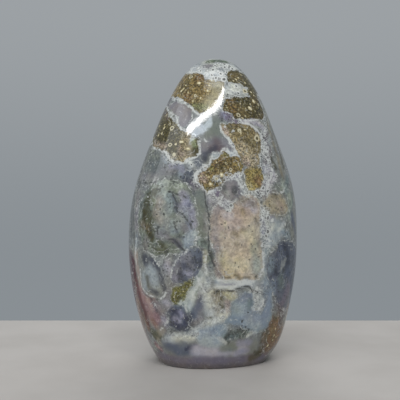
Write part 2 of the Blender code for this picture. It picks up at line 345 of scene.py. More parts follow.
FRONT_GROUND: tuple[Wash, ...] = (
    # The crown.
    Wash(Tone.MIST, 6, 0.8, (((-8, 100), (0, 101), (8, 98)), ((-4, 103.5), (5, 103.5)))),
    Wash(Tone.WHITE_LACE, 3, 0.55, (((-7, 101), (-3, 99.5), (2, 98.5)), ((4, 102.5), (8, 101)))),
    Wash(Tone.MAUVE_GREY, 1.8, 0.75, (((-3.2, 101.8), (-1, 102)),)),
    Wash(Tone.BOTTLE, 2, 0.95, (((-1.6, 103.7), (4, 103.7)),)),
    Wash(Tone.MAUVE_DARK, 2.2, 0.8, (((-9.6, 100), (-13, 94.5), (-16, 88.5)),)),
    Wash(Tone.MIST, 3, 0.9, (((5.5, 94), (9.5, 93.5), (12.5, 92.5)),)),
    Wash(Tone.WHITE_LACE, 2.6, 0.9, (((5.5, 93.6), (9, 93.8)),)),
    Wash(Tone.GREEN_GREY, 2, 0.8, (((17, 88), (18.5, 86), (20.5, 80)),)),
    # Between the shoulders.
    Wash(Tone.SEA_GREY, 5, 0.8, (((-6, 83), (-3, 77), (1, 82)),)),
    Wash(Tone.GREEN_GREY, 3.4, 0.75, (((-1, 82), (-0.5, 77.5)), ((2.6, 83.5), (1.4, 79)))),
    Wash(Tone.MAUVE_GREY, 3.6, 0.8, (((-3.5, 74), (2, 74.8), (5, 73.2)),)),
    Wash(Tone.MAUVE_DARK, 2.2, 0.85, (((1, 75.4), (1.8, 73.2)), ((-0.8, 73.4), (3, 72.6)))),
    Wash(Tone.SLATE_DARK, 1.7, 0.75, (((-3.2, 71.6), (-3.4, 69.6)), ((-1.6, 72.2), (0.4, 73.2)))),
    Wash(Tone.PURPLE_GREY, 2.2, 0.6, (((2.8, 84.6), (6, 84.2), (9, 82.9)),)),
    Wash(Tone.LILAC, 1.1, 0.7, (((3.2, 85.6), (4.4, 84)),)),
    Wash(Tone.PALE_BLUE, 1.4, 0.8, (((-0.1, 71), (1.6, 70.8)), ((5.4, 71.8), (6.4, 71.2)))),
    # Above the oval.
    Wash(Tone.GREEN_GREY, 5, 0.6, (((-22, 71), (-20, 66)),)),
    Wash(Tone.GREEN_GREY, 5, 0.85, (((-20, 66), (-13, 65)),)),
    Wash(Tone.SLATE, 4, 0.4, (((-22, 67), (-16, 66), (-9, 64.6), (-5, 61)),)),
    Wash(Tone.MAUVE_GREY, 2.4, 0.6, (((-24.5, 63), (-20, 63.4)), ((-17.6, 65.6), (-14, 65.5)))),
    Wash(Tone.PALE_BLUE, 1.8, 0.6, (((-11.2, 67), (-11.3, 63.6)), ((-17.4, 70), (-16.8, 69)))),
    Wash(Tone.LILAC, 1.6, 0.7, (((-11.5, 66.8), (-10.4, 65)), ((-15.3, 67.2), (-13.2, 66.9)))),
    Wash(Tone.WHITE_LACE, 2, 0.7, (((-7.8, 68.8), (-7.4, 67)),)),
    Wash(Tone.SLATE, 1.8, 0.75, (
        ((-8.6, 65), (-7, 63.2)), ((-5.6, 69), (-4.6, 66.4)), ((-10, 62.2), (-8.6, 61)),
    )),
    Wash(Tone.SLATE_DARK, 1.1, 0.7, (
        ((-10.6, 62.2), (-9, 62)), ((-7.4, 62), (-6.6, 60.4)), ((-17.8, 70.2),),
    )),
    Wash(Tone.PURPLE_GREY, 1.3, 0.7, (((-7.8, 61), (-6.4, 59.4)), ((-5.2, 60.2), (-3.8, 58.6)))),
    Wash(Tone.CHARCOAL, 6, 0.25, (((-23, 70), (-16, 66.4), (-8, 63.6)),)),
    # The right flank above the panel.
    Wash(Tone.LILAC_WHITE, 1.6, 0.85, (((10.8, 82.4), (13, 82.9), (15.5, 82), (17.5, 80.4)),)),
    Wash(Tone.LILAC, 1.3, 0.75, (((14.4, 81.9), (16.8, 80.8), (17.6, 79.4)),)),
    Wash(Tone.MAUVE_GREY, 2.6, 0.8, (((18, 77), (19, 72), (19, 66)),)),
    Wash(Tone.MIST, 1.8, 0.6, (((17.2, 76), (17.4, 71)), ((19.8, 78), (20.4, 74)))),
    Wash(Tone.MAUVE_DARK, 1.2, 0.85, (
        ((18.7, 78.6), (17.8, 77)), ((18.2, 69.6), (17.9, 67.6)), ((19.9, 73.6), (20, 72)),
    )),
    Wash(Tone.LILAC_WHITE, 2.2, 0.8, (((18.5, 65.6), (21, 63.6), (19, 61.6)), ((17.8, 59.4), (19, 58.6)))),
    Wash(Tone.OLIVE_BEIGE, 1.3, 0.5, (((19, 81.6), (21.2, 75), (23.2, 68), (24.8, 61)),)),
    Wash(Tone.DARK_OLIVE, 1.1, 0.7, (((20.8, 79.4), (22.6, 74), (24.8, 66)), ((20.2, 70.6), (22, 66)))),
    Wash(Tone.GREEN_GREY, 1.6, 0.7, (((24.2, 62), (26, 57)), ((21.8, 60.5), (24, 58.6)))),
    Wash(Tone.LILAC, 1.6, 0.7, (((1.4, 62.7), (5, 63.4), (9, 63.2)), ((0.2, 58.4), (2, 58.2)))),
    Wash(Tone.MIST, 2, 0.7, (((9.6, 61.6), (10.8, 58.6)), ((11, 57.4), (14, 57.4)))),
    Wash(Tone.MAUVE_GREY, 1.8, 0.7, (((16.4, 57.8), (17.8, 56)), ((3, 56), (5, 57)))),
    Wash(Tone.LILAC_WHITE, 2.4, 0.45, (
        ((-0.8, 56.6), (-0.6, 55)), ((2.8, 55), (5.4, 54.2)), ((3, 52.4), (4.6, 52)),
    )),
    Wash(Tone.MAUVE_GREY, 3, 0.4, (((-3, 57.6), (-0.4, 55), (1, 52)),)),
    Wash(Tone.SLATE_DARK, 0.9, 0.65, (
        ((15.8, 57.6), (16.4, 55.8)), ((5.4, 53.6), (4.6, 51.6)), ((7.8, 60), (9.2, 57.6)),
    )),
    # The strip between the oval and the panel, and the left edge.
    Wash(Tone.GREEN_GREY, 3, 0.85, (((-4.6, 57.6), (-4.4, 50), (-4.3, 43)),)),
    Wash(Tone.MAUVE_GREY, 1.8, 0.5, (((-2.6, 50), (-2.4, 45)),)),
    Wash(Tone.TEAL_GREY, 2.2, 0.7, (((-4.6, 40.4), (-2.6, 39.6)),)),
    Wash(Tone.CHARCOAL, 1.1, 0.5, (
        ((-3.8, 40.6), (-2.2, 40.2)), ((-4.6, 38.8), (-3, 38.2)), ((-3.3, 46.6),),
    )),
    Wash(Tone.MAUVE_GREY, 2.2, 0.7, (((-26, 58), (-26.8, 52), (-27, 46)),)),
    # Down the left edge: the charcoal and pale blue stripes, and the teal grey out to the outline, are
    # painted reflections of the room laid over the stone's own grey.
    Wash(Tone.CHARCOAL, 2.4, 0.65, (
        ((-27.4, 60), (-28.5, 52), (-28.8, 43)), ((-26.2, 61), (-25, 66), (-23, 72)),
    )),
    Wash(Tone.TEAL_GREY, 3, 0.6, (((-26, 66), (-23.6, 73), (-21.4, 79)), ((-30, 58), (-31, 48)))),
    Wash(Tone.PALE_BLUE, 1, 0.6, (((-29.9, 55), (-30.2, 46), (-30, 38)), ((-27, 43), (-27, 34)))),
    # The right flank.
    Wash(Tone.MIST, 3.2, 0.8, (((18, 51), (18.5, 45), (18.5, 39)),)),
    Wash(Tone.LILAC, 1.6, 0.6, (((17.4, 48), (17.8, 44)), ((20, 49.4), (21, 48.6)))),
    Wash(Tone.PALE_BLUE, 3.2, 0.8, (((21.4, 47), (23, 44.6), (21, 41)),)),
    Wash(Tone.WHITE_LACE, 1.2, 0.6, (
        ((21, 46.6), (20.2, 43.4)), ((24.6, 47.2), (22.8, 44.6)), ((18.6, 42.4), (19, 39.6)),
    )),
    Wash(Tone.BLUE_GREY, 2, 0.7, (((19, 38.6), (17.8, 34), (18, 28.4)), ((24.6, 44), (26.5, 42.4)))),
    Wash(Tone.PALE_BLUE, 1.2, 0.6, (((17.4, 35), (17.6, 30)),)),
    Wash(Tone.SLATE, 2, 0.85, (((27.4, 50), (28.6, 44)),)),
    Wash(Tone.TEAL_GREY, 2, 0.8, (((27.6, 57), (27, 53)), ((25.4, 59), (26.2, 62)))),
    Wash(Tone.PALE_GREEN, 2.6, 0.6, (((24.6, 60), (26.6, 56.4), (26.4, 49.6)),)),
    # Low on the left: a maroon edge, a pink band inside it and grey beyond.
    Wash(Tone.PINK_GREY, 1.8, 0.75, (((-27, 36), (-26.4, 30), (-25.4, 25)),)),
    Wash(Tone.PINK, 3.2, 0.75, (
        ((-25.6, 23), (-24, 19.5), (-22.3, 15.5), (-20.4, 12.5)), ((-22.4, 20.6), (-18.6, 14)),
    )),
    Wash(Tone.MAUVE_DARK, 1.3, 0.85, (
        ((-23, 21.8), (-21.4, 20), (-20.4, 17.4)), ((-19.6, 16.2), (-17.2, 13.2)),
    )),
    Wash(Tone.MAROON, 2, 0.9, (
        ((-28.1, 34), (-27.7, 30), (-26.8, 25), (-25.4, 20), (-23.8, 15), (-22.6, 11)),
    )),
    Wash(Tone.MAROON, 4.5, 0.7, (((-30.2, 32), (-29.6, 26), (-28.6, 20), (-26.4, 13), (-24.6, 8)),)),
    Wash(Tone.MAROON, 5, 0.75, (((-29, 35), (-28.6, 29), (-27.8, 24), (-26.9, 20), (-25.8, 15.6)),)),
    Wash(Tone.MAUVE_DARK, 5, 0.8, (((-25.6, 15), (-24.8, 11.6), (-23.2, 7), (-21.6, 3.4), (-20, 0.6)),)),
    Wash(Tone.RED_BROWN, 3, 0.5, (((-26.6, 19.6), (-25.4, 15), (-24.4, 11)),)),
    Wash(Tone.MAROON, 4, 0.5, (((-27.9, 23), (-27.1, 19), (-26, 15), (-25, 11.6)),)),
    Wash(Tone.PINK_GREY, 1.5, 0.55, (((-28.4, 24), (-27.2, 19), (-25.8, 14)), ((-23, 20), (-21.4, 16.4)))),
    Wash(Tone.RED_BROWN, 1.6, 0.5, (((-21, 12.6), (-19.4, 10.6)), ((-24.6, 15), (-22.6, 10)))),
    Wash(Tone.MAUVE_GREY, 2.2, 0.7, (((-20, 18.4), (-17, 16)), ((-17.8, 12), (-17.6, 9.6)))),
    Wash(Tone.MAUVE_GREY, 3.4, 0.75, (((-15.6, 32), (-15.4, 24), (-16.4, 18)),)),
    Wash(Tone.LILAC_WHITE, 1.8, 0.5, (
        ((-16, 33.6), (-15.4, 30)), ((-16.6, 19.2), (-15.4, 17.8)), ((-17.6, 14), (-16.4, 11.6)),
    )),
    Wash(Tone.SEA_GREY, 1.6, 0.6, (((-16.4, 30.4), (-15.2, 25.6)), ((-12.6, 34.6), (-14.6, 36)))),
    Wash(Tone.CREAM, 1.5, 0.5, (((-2.7, 37), (-2.7, 31), (-3.6, 28.6), (-5.8, 25)),)),
    Wash(Tone.PALE_GREEN, 2.6, 0.85, (
        ((-3, 30), (-5.6, 25.8), (-8.4, 22), (-11.4, 18.6)), ((-7.6, 22), (-8.6, 17)),
    )),
    Wash(Tone.WHITE_LACE, 1.1, 0.6, (
        ((-3.4, 28.6), (-6, 25.2), (-9.4, 21), (-11.6, 18.8)), ((-7.2, 21.6), (-8.2, 17.6)),
    )),
    Wash(Tone.MOSS, 1.2, 0.8, (((-0.9, 36.8), (0, 34)),)),
    Wash(Tone.GREEN_GREY, 1.6, 0.85, (((-1.2, 35), (-0.6, 31), (-0.8, 28)),)),
    Wash(Tone.CHARCOAL, 0.9, 0.7, (((-0.9, 36.4), (0.3, 33.4)), ((-1.2, 27.8), (-0.8, 27)))),
    Wash(Tone.MAUVE_GREY, 2.4, 0.8, (((-4.4, 22), (-4.8, 17)), ((-6.8, 11.6), (-4.8, 13.6)))),
    Wash(Tone.SLATE_DARK, 1.5, 0.85, (((-7.8, 15.2), (-7.9, 12.6)), ((-8.4, 12), (-9.6, 10.2)))),
    Wash(Tone.SLATE, 1.8, 0.8, (((-6.6, 16.6), (-6.6, 14)), ((-4.2, 20.6), (-5, 18)))),
    Wash(Tone.CHARCOAL, 1.6, 0.6, (((-14.6, 9.2), (-11, 8.6)), ((-8, 10.2), (-6.4, 11)))),
    Wash(Tone.MOSS, 2, 0.8, (((-19.4, 8.4), (-17, 6.8)), ((-21.2, 9), (-19.8, 7)))),
    Wash(Tone.BEIGE, 1.6, 0.6, (((-18.6, 8.8), (-17.4, 10)), ((-19, 6.6), (-18.4, 5.4)))),
    Wash(Tone.WHITE_LACE, 2.4, 0.65, (
        ((-16.3, 6.4), (-12, 7), (-8.6, 7), (-6.2, 8.8), (-3.6, 10.4), (-0.8, 12.4), (2, 13.6), (4.2, 15)),
    )),
    Wash(Tone.CREAM, 1.5, 0.25, (((-14, 6.4), (-8.6, 6.8), (-4, 9.8), (-1, 12)), ((1, 13.4), (4, 14.8)))),
    Wash(Tone.SLATE, 3.2, 0.75, (((-16, 4.2), (-12, 3), (-7.6, 2.8)),)),
    Wash(Tone.PALE_BLUE, 3.2, 0.9, (((-4, 8), (-0.6, 8.4), (3, 9.8)), ((-3, 5.4), (2, 5)))),
    Wash(Tone.SLATE, 1.8, 0.7, (((-15.6, 4.4), (-13.6, 3.4)), ((-12, 2), (-9, 1.8)))),
    Wash(Tone.INDIGO, 0.9, 0.8, (((-9.8, 3), (-8.2, 3.6), (-6, 4.4)),)),
    # A pink dab low on the left: painted highlight.
    Wash(Tone.PINK, 1.6, 0.7, (((-20, 4.6), (-18.4, 3)),)),
    # Low in the middle: the whitish lilac strokes are a painted highlight, and the lilac under them is partly
    # the stone's own colour and partly that painted highlight.
    Wash(Tone.LILAC, 2.8, 0.75, (((-5.6, 3), (-2, 2.2), (1.6, 2)),)),
    Wash(Tone.LILAC_WHITE, 3.2, 0.8, (((-6, 2.2), (0, 1.4), (4, 2)), ((8, 2.4), (10, 2.6)))),
    Wash(Tone.PURPLE_GREY, 2.8, 0.75, (
        ((-19, 0.8), (-12, -0.8), (-4, -1.4), (6, -1.2), (14, -0.2), (18, 1)),
    )),
    Wash(Tone.PALE_BLUE, 2, 0.6, (((-4.4, 6.4), (0, 5.4)), ((-3.8, 9), (-1.8, 9.6)))),
    # A dark band along the bottom rim, where the stone turns under onto its base: painted shade over the
    # stone's own mauve.
    Wash(Tone.MAUVE_DARK, 2.2, 0.8, (
        ((-19, -0.8), (-12, -2.8), (-4, -3.4), (6, -3.4), (14, -2.4), (18, -0.6)),
    )),
    # Low in the middle and on the right.
    Wash(Tone.MIST, 3, 0.8, (((-3, 26), (-1.5, 21), (-1, 16)), ((-2.6, 31), (-2, 28)))),
    Wash(Tone.WHITE_LACE, 3.2, 0.4, (((-2.6, 25), (-1.4, 19), (0.4, 13)),)),
    Wash(Tone.PALE_BLUE, 3, 0.6, (((17.8, 34), (17, 26)),)),
    Wash(Tone.CREAM, 2.4, 0.3, (((-2, 23.5), (-1.4, 18)), ((0.4, 13.8), (2.4, 14.6), (4, 14.6)))),
    Wash(Tone.PALE_BLUE, 2.4, 0.9, (((1.8, 26.6), (8, 26.4), (14.5, 26)),)),
    Wash(Tone.LILAC, 0.9, 0.7, (((2.6, 26.1), (10, 25.9)),)),
    Wash(Tone.WHITE_LACE, 1.2, 0.75, (
        ((1.6, 27.4), (7, 27.4), (9, 26.6), (14, 26.4)), ((1, 25), (7, 24.9), (10, 25.4)),
    )),
    Wash(Tone.PINK_GREY, 2, 0.6, (((1.6, 33), (1.6, 29.4)), ((5, 18.8), (5.4, 16.8)))),
    Wash(Tone.BEIGE, 2.4, 0.6, (((1, 22.6), (2, 19), (1.8, 16.6)), ((4.6, 22), (6.6, 22.4)))),
    Wash(Tone.OLIVE_BROWN, 0.9, 0.7, (
        ((0.6, 23.2), (3, 23.2)), ((2.9, 21), (2.4, 18.9), (3, 17.8)), ((-1.6, 13.8), (-0.8, 14)),
    )),
    Wash(Tone.YELLOW_CREAM, 1.8, 0.6, (((4.6, 22.4), (6.6, 21.2), (7, 20.6)),)),
    Wash(Tone.WHITE_LACE, 1.4, 0.5, (((0.6, 13), (2.4, 13.8), (3.8, 14.2)),)),
    Wash(Tone.PINK_GREY, 1.5, 0.4, (((4.8, 19.4), (5, 16.6)),)),
    Wash(Tone.SEA_GREY, 1.8, 0.8, (((9.4, 23.4), (12.4, 23.3)),)),
    Wash(Tone.MIST, 2.6, 0.85, (((15.2, 24.6), (16, 21), (15, 18)), ((16.4, 29), (17, 25)))),
    Wash(Tone.WHITE_LACE, 1.3, 0.8, (((14, 17.2), (16.4, 17.4), (17.2, 19.6)), ((13.7, 21.2), (14.2, 20)))),
    Wash(Tone.BLUE_GREY, 2.4, 0.7, (((18.4, 27), (19, 22)), ((0.6, 10), (3, 9.4)))),
    Wash(Tone.SEA_GREY, 2.6, 0.7, (((13.6, 7.6), (15.6, 5.4)),)),
    Wash(Tone.TEAL_GREY, 2.4, 0.75, (((4.4, 7.4), (8, 8.2), (12, 8.6)),)),
    Wash(Tone.CHARCOAL, 1.2, 0.75, (
        ((4.2, 7), (5.6, 8.6), (7.6, 8.6)), ((9, 9.2), (11, 10.2), (13, 10.6)), ((11, 8.6), (12, 8.2)),
        ((4.2, 5.6), (5, 5.4)), ((9.6, 7), (10.2, 6.2)),
    )),
    Wash(Tone.WHITE_LACE, 0.9, 0.7, (
        ((1.8, 7), (3.6, 5.8), (4, 5.4)), ((12.2, 7.4), (13.6, 8.8), (15, 9.3)),
    )),
    Wash(Tone.GREEN_GREY, 2.4, 0.8, (((3.6, 3.4), (7.4, 3.6)),)),
    Wash(Tone.LILAC, 1.8, 0.7, (((8.4, 1.8), (11.6, 2.8)), ((12.6, 5.4), (9, 5.2)))),
    Wash(Tone.OLIVE_BROWN, 2.2, 0.75, (((13, -0.4), (16, 1.4), (16.8, 3.4)),)),
    Wash(Tone.DARK_OLIVE, 1.2, 0.7, (((18.2, 9.6), (17, 7.4), (16.6, 5.6)), ((14.6, 2), (16.6, 2)))),
    Wash(Tone.MAUVE_DARK, 3.4, 0.8, (((23, 18.6), (24, 15)), ((26.4, 18), (26, 12), (24.6, 7), (22.4, 3)))),
    Wash(Tone.PURPLE_GREY, 2.4, 0.8, (((27.2, 26), (26.6, 21), (25, 18)),)),
    Wash(Tone.MAROON, 1.6, 0.7, (((27.4, 19), (26.6, 14), (25.4, 9)),)),
)

FRONT_FIELDS: tuple[Wash, ...] = (
    # The crown and the shoulders.
    Wash(Tone.RED_BROWN, 1.8, 0.5, (((-5, 98.5), (-4.6, 97.6)),)),
    Wash(Tone.RED_BROWN, 2, 0.35, (
        ((-9.6, 92), (-8.6, 90.6)), ((6, 90.4), (7, 87)), ((0.8, 67.6), (2.4, 68.6)),
    )),
    Wash(Tone.MAUVE_DARK, 3, 0.75, (((-11.8, 97.6), (-14.2, 93.4), (-15.4, 91)),)),
    Wash(Tone.OLIVE_BROWN, 2.4, 0.6, (((-10.8, 94), (-9, 96.6), (-8, 98.4)), ((-7, 88), (-5, 88.6)))),
    # A hazy pale olive wash beside the upper end of the highlight: painted reflection, a veil of window light
    # laid over the brown field.
    Wash(Tone.HAZE_OLIVE, 3.8, 0.8, (((1.4, 95.6), (1, 92), (-1.6, 89.2)),)),
    Wash(Tone.SAGE, 2.2, 0.5, (((-6.4, 88.2), (-3, 87.2)),)),
    Wash(Tone.DARK_OLIVE, 2.2, 0.8, (((14.2, 84.8), (16.4, 87)), ((8, 90.2), (12, 89.4)))),
    Wash(Tone.GOLD_BROWN, 2.4, 0.55, (((7, 88.4), (9.6, 86.4)), ((6.4, 98.6), (9, 98.2)))),
    Wash(Tone.MAUVE_DARK, 1.6, 0.7, (((-16.8, 86.4), (-16.2, 84)),)),
    Wash(Tone.DARK_OLIVE, 2.4, 0.6, (
        ((-18.6, 80.5), (-16.5, 78.4), (-13, 77.6)), ((-14, 73.4), (-13.6, 71)), ((-19.6, 76.6), (-15, 74)),
    )),
    Wash(Tone.BEIGE, 3, 0.65, (((-9, 77.2), (-8.8, 74), (-8.6, 71.4)), ((-13.4, 69.6), (-10, 69.8)))),
    Wash(Tone.PINK_GREY, 1.6, 0.45, (((-11.6, 73), (-11, 71)), ((-20.6, 75), (-17, 74)))),
    Wash(Tone.SAGE, 1.6, 0.75, (((-7, 76), (-6.6, 74.6)),)),
    Wash(Tone.DARK_OLIVE, 1.2, 0.8, (((-6.6, 73.4), (-6.2, 72)),)),
    Wash(Tone.OLIVE_BROWN, 2.2, 0.6, (
        ((5, 80.4), (8, 80.4), (12, 79.4)), ((9, 77), (13, 75.4)), ((14.6, 76), (15, 74.4)),
    )),
    Wash(Tone.BEIGE, 3.6, 0.75, (((9.4, 73.6), (12, 71), (13.6, 69)),)),
    Wash(Tone.PINK_GREY, 1.6, 0.6, (((3.6, 80), (4.6, 78.6)), ((11.4, 69.4), (12, 67.6)))),
    Wash(Tone.PINK_GREY, 1.8, 0.85, (((-4.4, 63.6), (-3.6, 63)),)),
    Wash(Tone.MOSS_GREEN, 1.2, 0.8, (
        ((3.6, 71.2), (4.6, 70.8)), ((-2.2, 59.4), (-1.6, 58.6)), ((-1.4, 66.8), (-0.8, 66)),
    )),
    Wash(Tone.YELLOW_OLIVE, 1.8, 0.7, (((8.6, 67.6), (9.6, 66)),)),
    Wash(Tone.DARK_BROWN, 1.6, 0.7, (
        ((1, 67.4), (2.4, 66.6)), ((3.6, 68.8), (6, 68)), ((0.6, 61.4), (2, 62)),
    )),
    Wash(Tone.RUST, 1.8, 0.8, (((15.4, 62.4), (16.4, 61)),)),
    Wash(Tone.YELLOW_CREAM, 1.4, 0.5, (((12.6, 61), (13, 59.6)),)),
    Wash(Tone.CHARCOAL, 1.6, 0.75, (((7.4, 59.6), (7.6, 58.2)), ((3.4, 60), (4, 59)))),
    Wash(Tone.MIST, 1.4, 0.6, (((4.6, 58.4), (5.2, 57)),)),
    # The large oval.
    Wash(Tone.PALE_GREEN, 2.2, 0.7, (
        ((-20, 60.3), (-16, 61.2), (-11.5, 60.2)), ((-18.6, 58.4), (-16, 56.4)),
    )),
    Wash(Tone.GREEN_GREY, 1.6, 0.6, (((-15.6, 60.6), (-13.4, 60)),)),
    Wash(Tone.MOSS, 2.2, 0.6, (
        ((-19.4, 58.6), (-21.6, 57.2), (-23.2, 54.6), (-24, 51), (-23.8, 48)), ((-22.2, 50.6), (-21.4, 47)),
        ((-23.2, 44.6), (-21.6, 42.6)),
    )),
    Wash(Tone.DARK_OLIVE, 1.5, 0.8, (((-24.4, 52), (-24.2, 48.4)), ((-22.8, 43.4), (-21.6, 42)))),
    Wash(Tone.RED_BROWN, 1.8, 0.35, (((-25.2, 46.6), (-23, 45.2)),)),
    Wash(Tone.SAGE, 1.2, 0.6, (((-21.4, 56), (-20.8, 53.8)),)),
    Wash(Tone.PINK_GREY, 2.6, 0.4, (((-19, 54.6), (-19.4, 51), (-18.6, 48.6)),)),
    Wash(Tone.SEA_GREY, 2.6, 0.7, (((-16, 48), (-16, 44)), ((-20, 46), (-18, 42)))),
    Wash(Tone.BLUE_GREY, 2.4, 0.5, (((-15.2, 57), (-15.2, 51.4)), ((-14.4, 47), (-14.2, 44.6)))),
    Wash(Tone.LILAC, 2.2, 0.8, (
        ((-10.6, 57.6), (-9.2, 54), (-7.6, 51), (-7.2, 46)), ((-11, 53), (-10.6, 51)),
    )),
    Wash(Tone.PURPLE_GREY, 1.8, 0.5, (((-10.4, 46.6), (-9.4, 44.6)),)),
    Wash(Tone.SLATE, 1.6, 0.6, (
        ((-13.4, 56.6), (-12.8, 53), (-12, 50.4)), ((-10.4, 49.6), (-8.6, 47.6)),
        ((-12, 46), (-12.8, 44.4)),
    )),
    Wash(Tone.MIST, 3, 0.45, (((-17, 52), (-17, 46)), ((-12, 47), (-10, 51)))),
    Wash(Tone.INDIGO, 0.9, 0.5, (
        ((-12.9, 54), (-12.7, 50.8)), ((-8.4, 53.4), (-8.6, 52.2)), ((-12.4, 42.3), (-10.6, 42.3)),
    )),
    Wash(Tone.PALE_BLUE, 2.4, 0.8, (((-9.4, 41.8), (-8.2, 39.6)), ((-7, 41.6), (-7, 43.6)))),
    Wash(Tone.PURPLE_GREY, 1.4, 0.5, (((-15.6, 41.8), (-13, 40.8), (-11.4, 39.4)),)),
    Wash(Tone.INDIGO, 0.9, 0.5, (
        ((-13.6, 41.2), (-13.2, 40.4)), ((-12.4, 39.8), (-11, 39)), ((-10.4, 38), (-9.6, 37.6)),
    )),
    Wash(Tone.MOSS, 1.8, 0.7, (
        ((-21, 38.2), (-19, 37.4)), ((-17.4, 38.6), (-16.2, 37.2)), ((-18.8, 40.6), (-17.8, 40)),
    )),
    Wash(Tone.MAUVE_GREY, 2, 0.6, (((-24, 41), (-24, 38)), ((-16.6, 42.6), (-19, 43.6)))),
    # The sandy panel.
    Wash(Tone.PINK_GREY, 4.4, 0.8, (((1.4, 51), (8, 50.6), (13, 53)), ((3, 46), (8, 47)))),
    Wash(Tone.PINK_GREY, 2.4, 0.6, (((0.6, 42), (1.4, 38)),)),
    Wash(Tone.LILAC_WHITE, 2, 0.5, (((14.6, 52),), ((3.6, 49.6), (6, 49.6)))),
    Wash(Tone.MAUVE_GREY, 2.4, 0.65, (
        ((2, 52.4), (0.2, 50), (0.2, 44), (1, 39), (2.6, 33)), ((9.6, 55), (13, 54.6)),
    )),
    Wash(Tone.OLIVE_BEIGE, 1.4, 0.6, (
        ((7.2, 43.8), (8.4, 43)), ((10.2, 44.4), (11, 44)), ((8.2, 39.8),), ((8.4, 34),), ((3.6, 33.4),),
        ((10, 52), (10.6, 50.8)),
    )),
    Wash(Tone.SAGE, 2.4, 0.5, (((14.4, 40), (14.2, 37)),)),
    Wash(Tone.MIST, 3.4, 0.4, (((14.8, 46), (15.6, 38), (15, 30)),)),
    Wash(Tone.YELLOW_CREAM, 2.8, 0.35, (((3.8, 35.6), (5, 32), (6.6, 30.4)),)),
    Wash(Tone.CREAM, 3, 0.45, (((8, 33), (11.4, 32)), ((12.4, 43.6), (12.8, 42.8)))),
    Wash(Tone.PALE_GREEN, 2.6, 0.7, (((15, 34), (15.2, 31)),)),
    Wash(Tone.OLIVE_BROWN, 1.2, 0.45, (
        ((9.4, 55.2), (12, 55.6)), ((13.6, 53.6), (15, 53.2)), ((14.6, 48.6), (15.4, 47)),
    )),
    Wash(Tone.OLIVE_BROWN, 0.9, 0.7, (
        ((3.8, 28.8), (5.4, 28.6)), ((7.4, 29), (8.6, 28.3)), ((9.4, 27.6), (12.5, 27.8)),
        ((14.6, 28.6), (15, 27.8)),
    )),
    Wash(Tone.CREAM, 0.8, 0.5, (((4, 47.4), (4.4, 45.4)), ((3.6, 44), (2.8, 42.6)))),
    # The right flank and below.
    Wash(Tone.OLIVE_BROWN, 1.3, 0.5, (((20.6, 57), (22, 56.4)), ((19.8, 53.6),))),
    Wash(Tone.PINK_GREY, 1.8, 0.5, (((23, 54), (24, 52.6)),)),
    Wash(Tone.SLATE_DARK, 2, 0.8, (((24.6, 40), (25.8, 37), (26, 33)), ((21.2, 31), (22, 30)))),
    Wash(Tone.BLUE_GREY, 2, 0.6, (((20.2, 33.8), (20.2, 31)), ((21, 26), (20.8, 22)))),
    Wash(Tone.TEAL_GREY, 2.4, 0.6, (((23.6, 28), (23.8, 25.4)),)),
    Wash(Tone.PURPLE_GREY, 2.6, 0.65, (((26, 24), (24.4, 20), (23, 18)),)),
    Wash(Tone.MIST, 0.8, 0.7, (((24, 33.6), (23.6, 31)), ((25, 34.4), (24.6, 32.6)))),
    Wash(Tone.CHARCOAL, 0.8, 0.7, (((24.6, 31.6), (24.4, 30)), ((25.3, 37.6),))),
    Wash(Tone.SLATE_DARK, 1.6, 0.85, (
        ((-24.3, 36), (-23.8, 33.4)), ((-22.6, 35), (-20, 32.6), (-18.6, 31)),
    )),
    Wash(Tone.PALE_BLUE, 2.6, 0.7, (((-22.4, 31), (-20.8, 29), (-20.4, 26)), ((-24, 29), (-24, 25)))),
    Wash(Tone.DARK_OLIVE, 1.4, 0.6, (((-23, 28), (-22.8, 25.4)),)),
    Wash(Tone.SLATE_DARK, 1.5, 0.75, (
        ((-18.2, 29), (-17.4, 27.6)), ((-17.2, 25.8), (-17, 24.6)), ((-21.6, 23.8), (-19.8, 22.4)),
    )),
    Wash(Tone.MAUVE_GREY, 2.8, 0.6, (((-12.4, 34), (-12.6, 29)), ((-9, 36), (-8, 30)))),
    Wash(Tone.SLATE_DARK, 1.6, 0.65, (
        ((-6.8, 35), (-7, 33.4)), ((-10, 32), (-8, 31)), ((-11.6, 30), (-11.8, 28)), ((-4.2, 35), (-4, 32)),
    )),
    Wash(Tone.LILAC, 1.6, 0.5, (((-9.6, 29.8), (-8.6, 29)), ((-13.4, 28.4),))),
    Wash(Tone.OLIVE_BROWN, 1.2, 0.5, (((-12.8, 19.8), (-13, 21)),)),
    Wash(Tone.INDIGO, 1.8, 0.85, (
        ((-9.8, 15), (-9.6, 12)), ((-13.6, 11.6), (-11, 10.4)), ((-14.6, 16.4), (-12.4, 15.6)),
        ((-14.6, 14), (-14.4, 12.6)),
    )),
    Wash(Tone.LILAC, 1.5, 0.8, (((-11.6, 15.4), (-11, 14.6)), ((-13.4, 13.6), (-12.4, 13)))),
    Wash(Tone.PURPLE_GREY, 2, 0.3, (((9.6, 20.6), (12.6, 21)),)),
    Wash(Tone.TEAL_GREY, 1.8, 0.6, (((7.4, 18), (8.4, 16.4)), ((12.6, 19.6), (12.4, 17.8)))),
    Wash(Tone.PALE_BLUE, 3.6, 0.6, (((8, 18.6), (11, 15), (15, 12.6)),)),
    Wash(Tone.LILAC, 3, 0.15, (((13, 14), (18, 13)), ((18.8, 21), (19, 16)))),
    Wash(Tone.MAROON, 2.6, 0.6, (((26, 17), (25.8, 12), (24.6, 7)),)),
    Wash(Tone.MAUVE_DARK, 2, 0.6, (((24, 16.6), (23.6, 12)), ((22, 4), (20.6, 3)))),
    Wash(Tone.OLIVE_BROWN, 1.4, 0.7, (((21.6, 15), (21.8, 13)), ((18.6, 9), (18, 6)))),
    Wash(Tone.GOLD_BROWN, 1.6, 0.6, (((20.6, 10), (20.8, 6.4)),)),
)

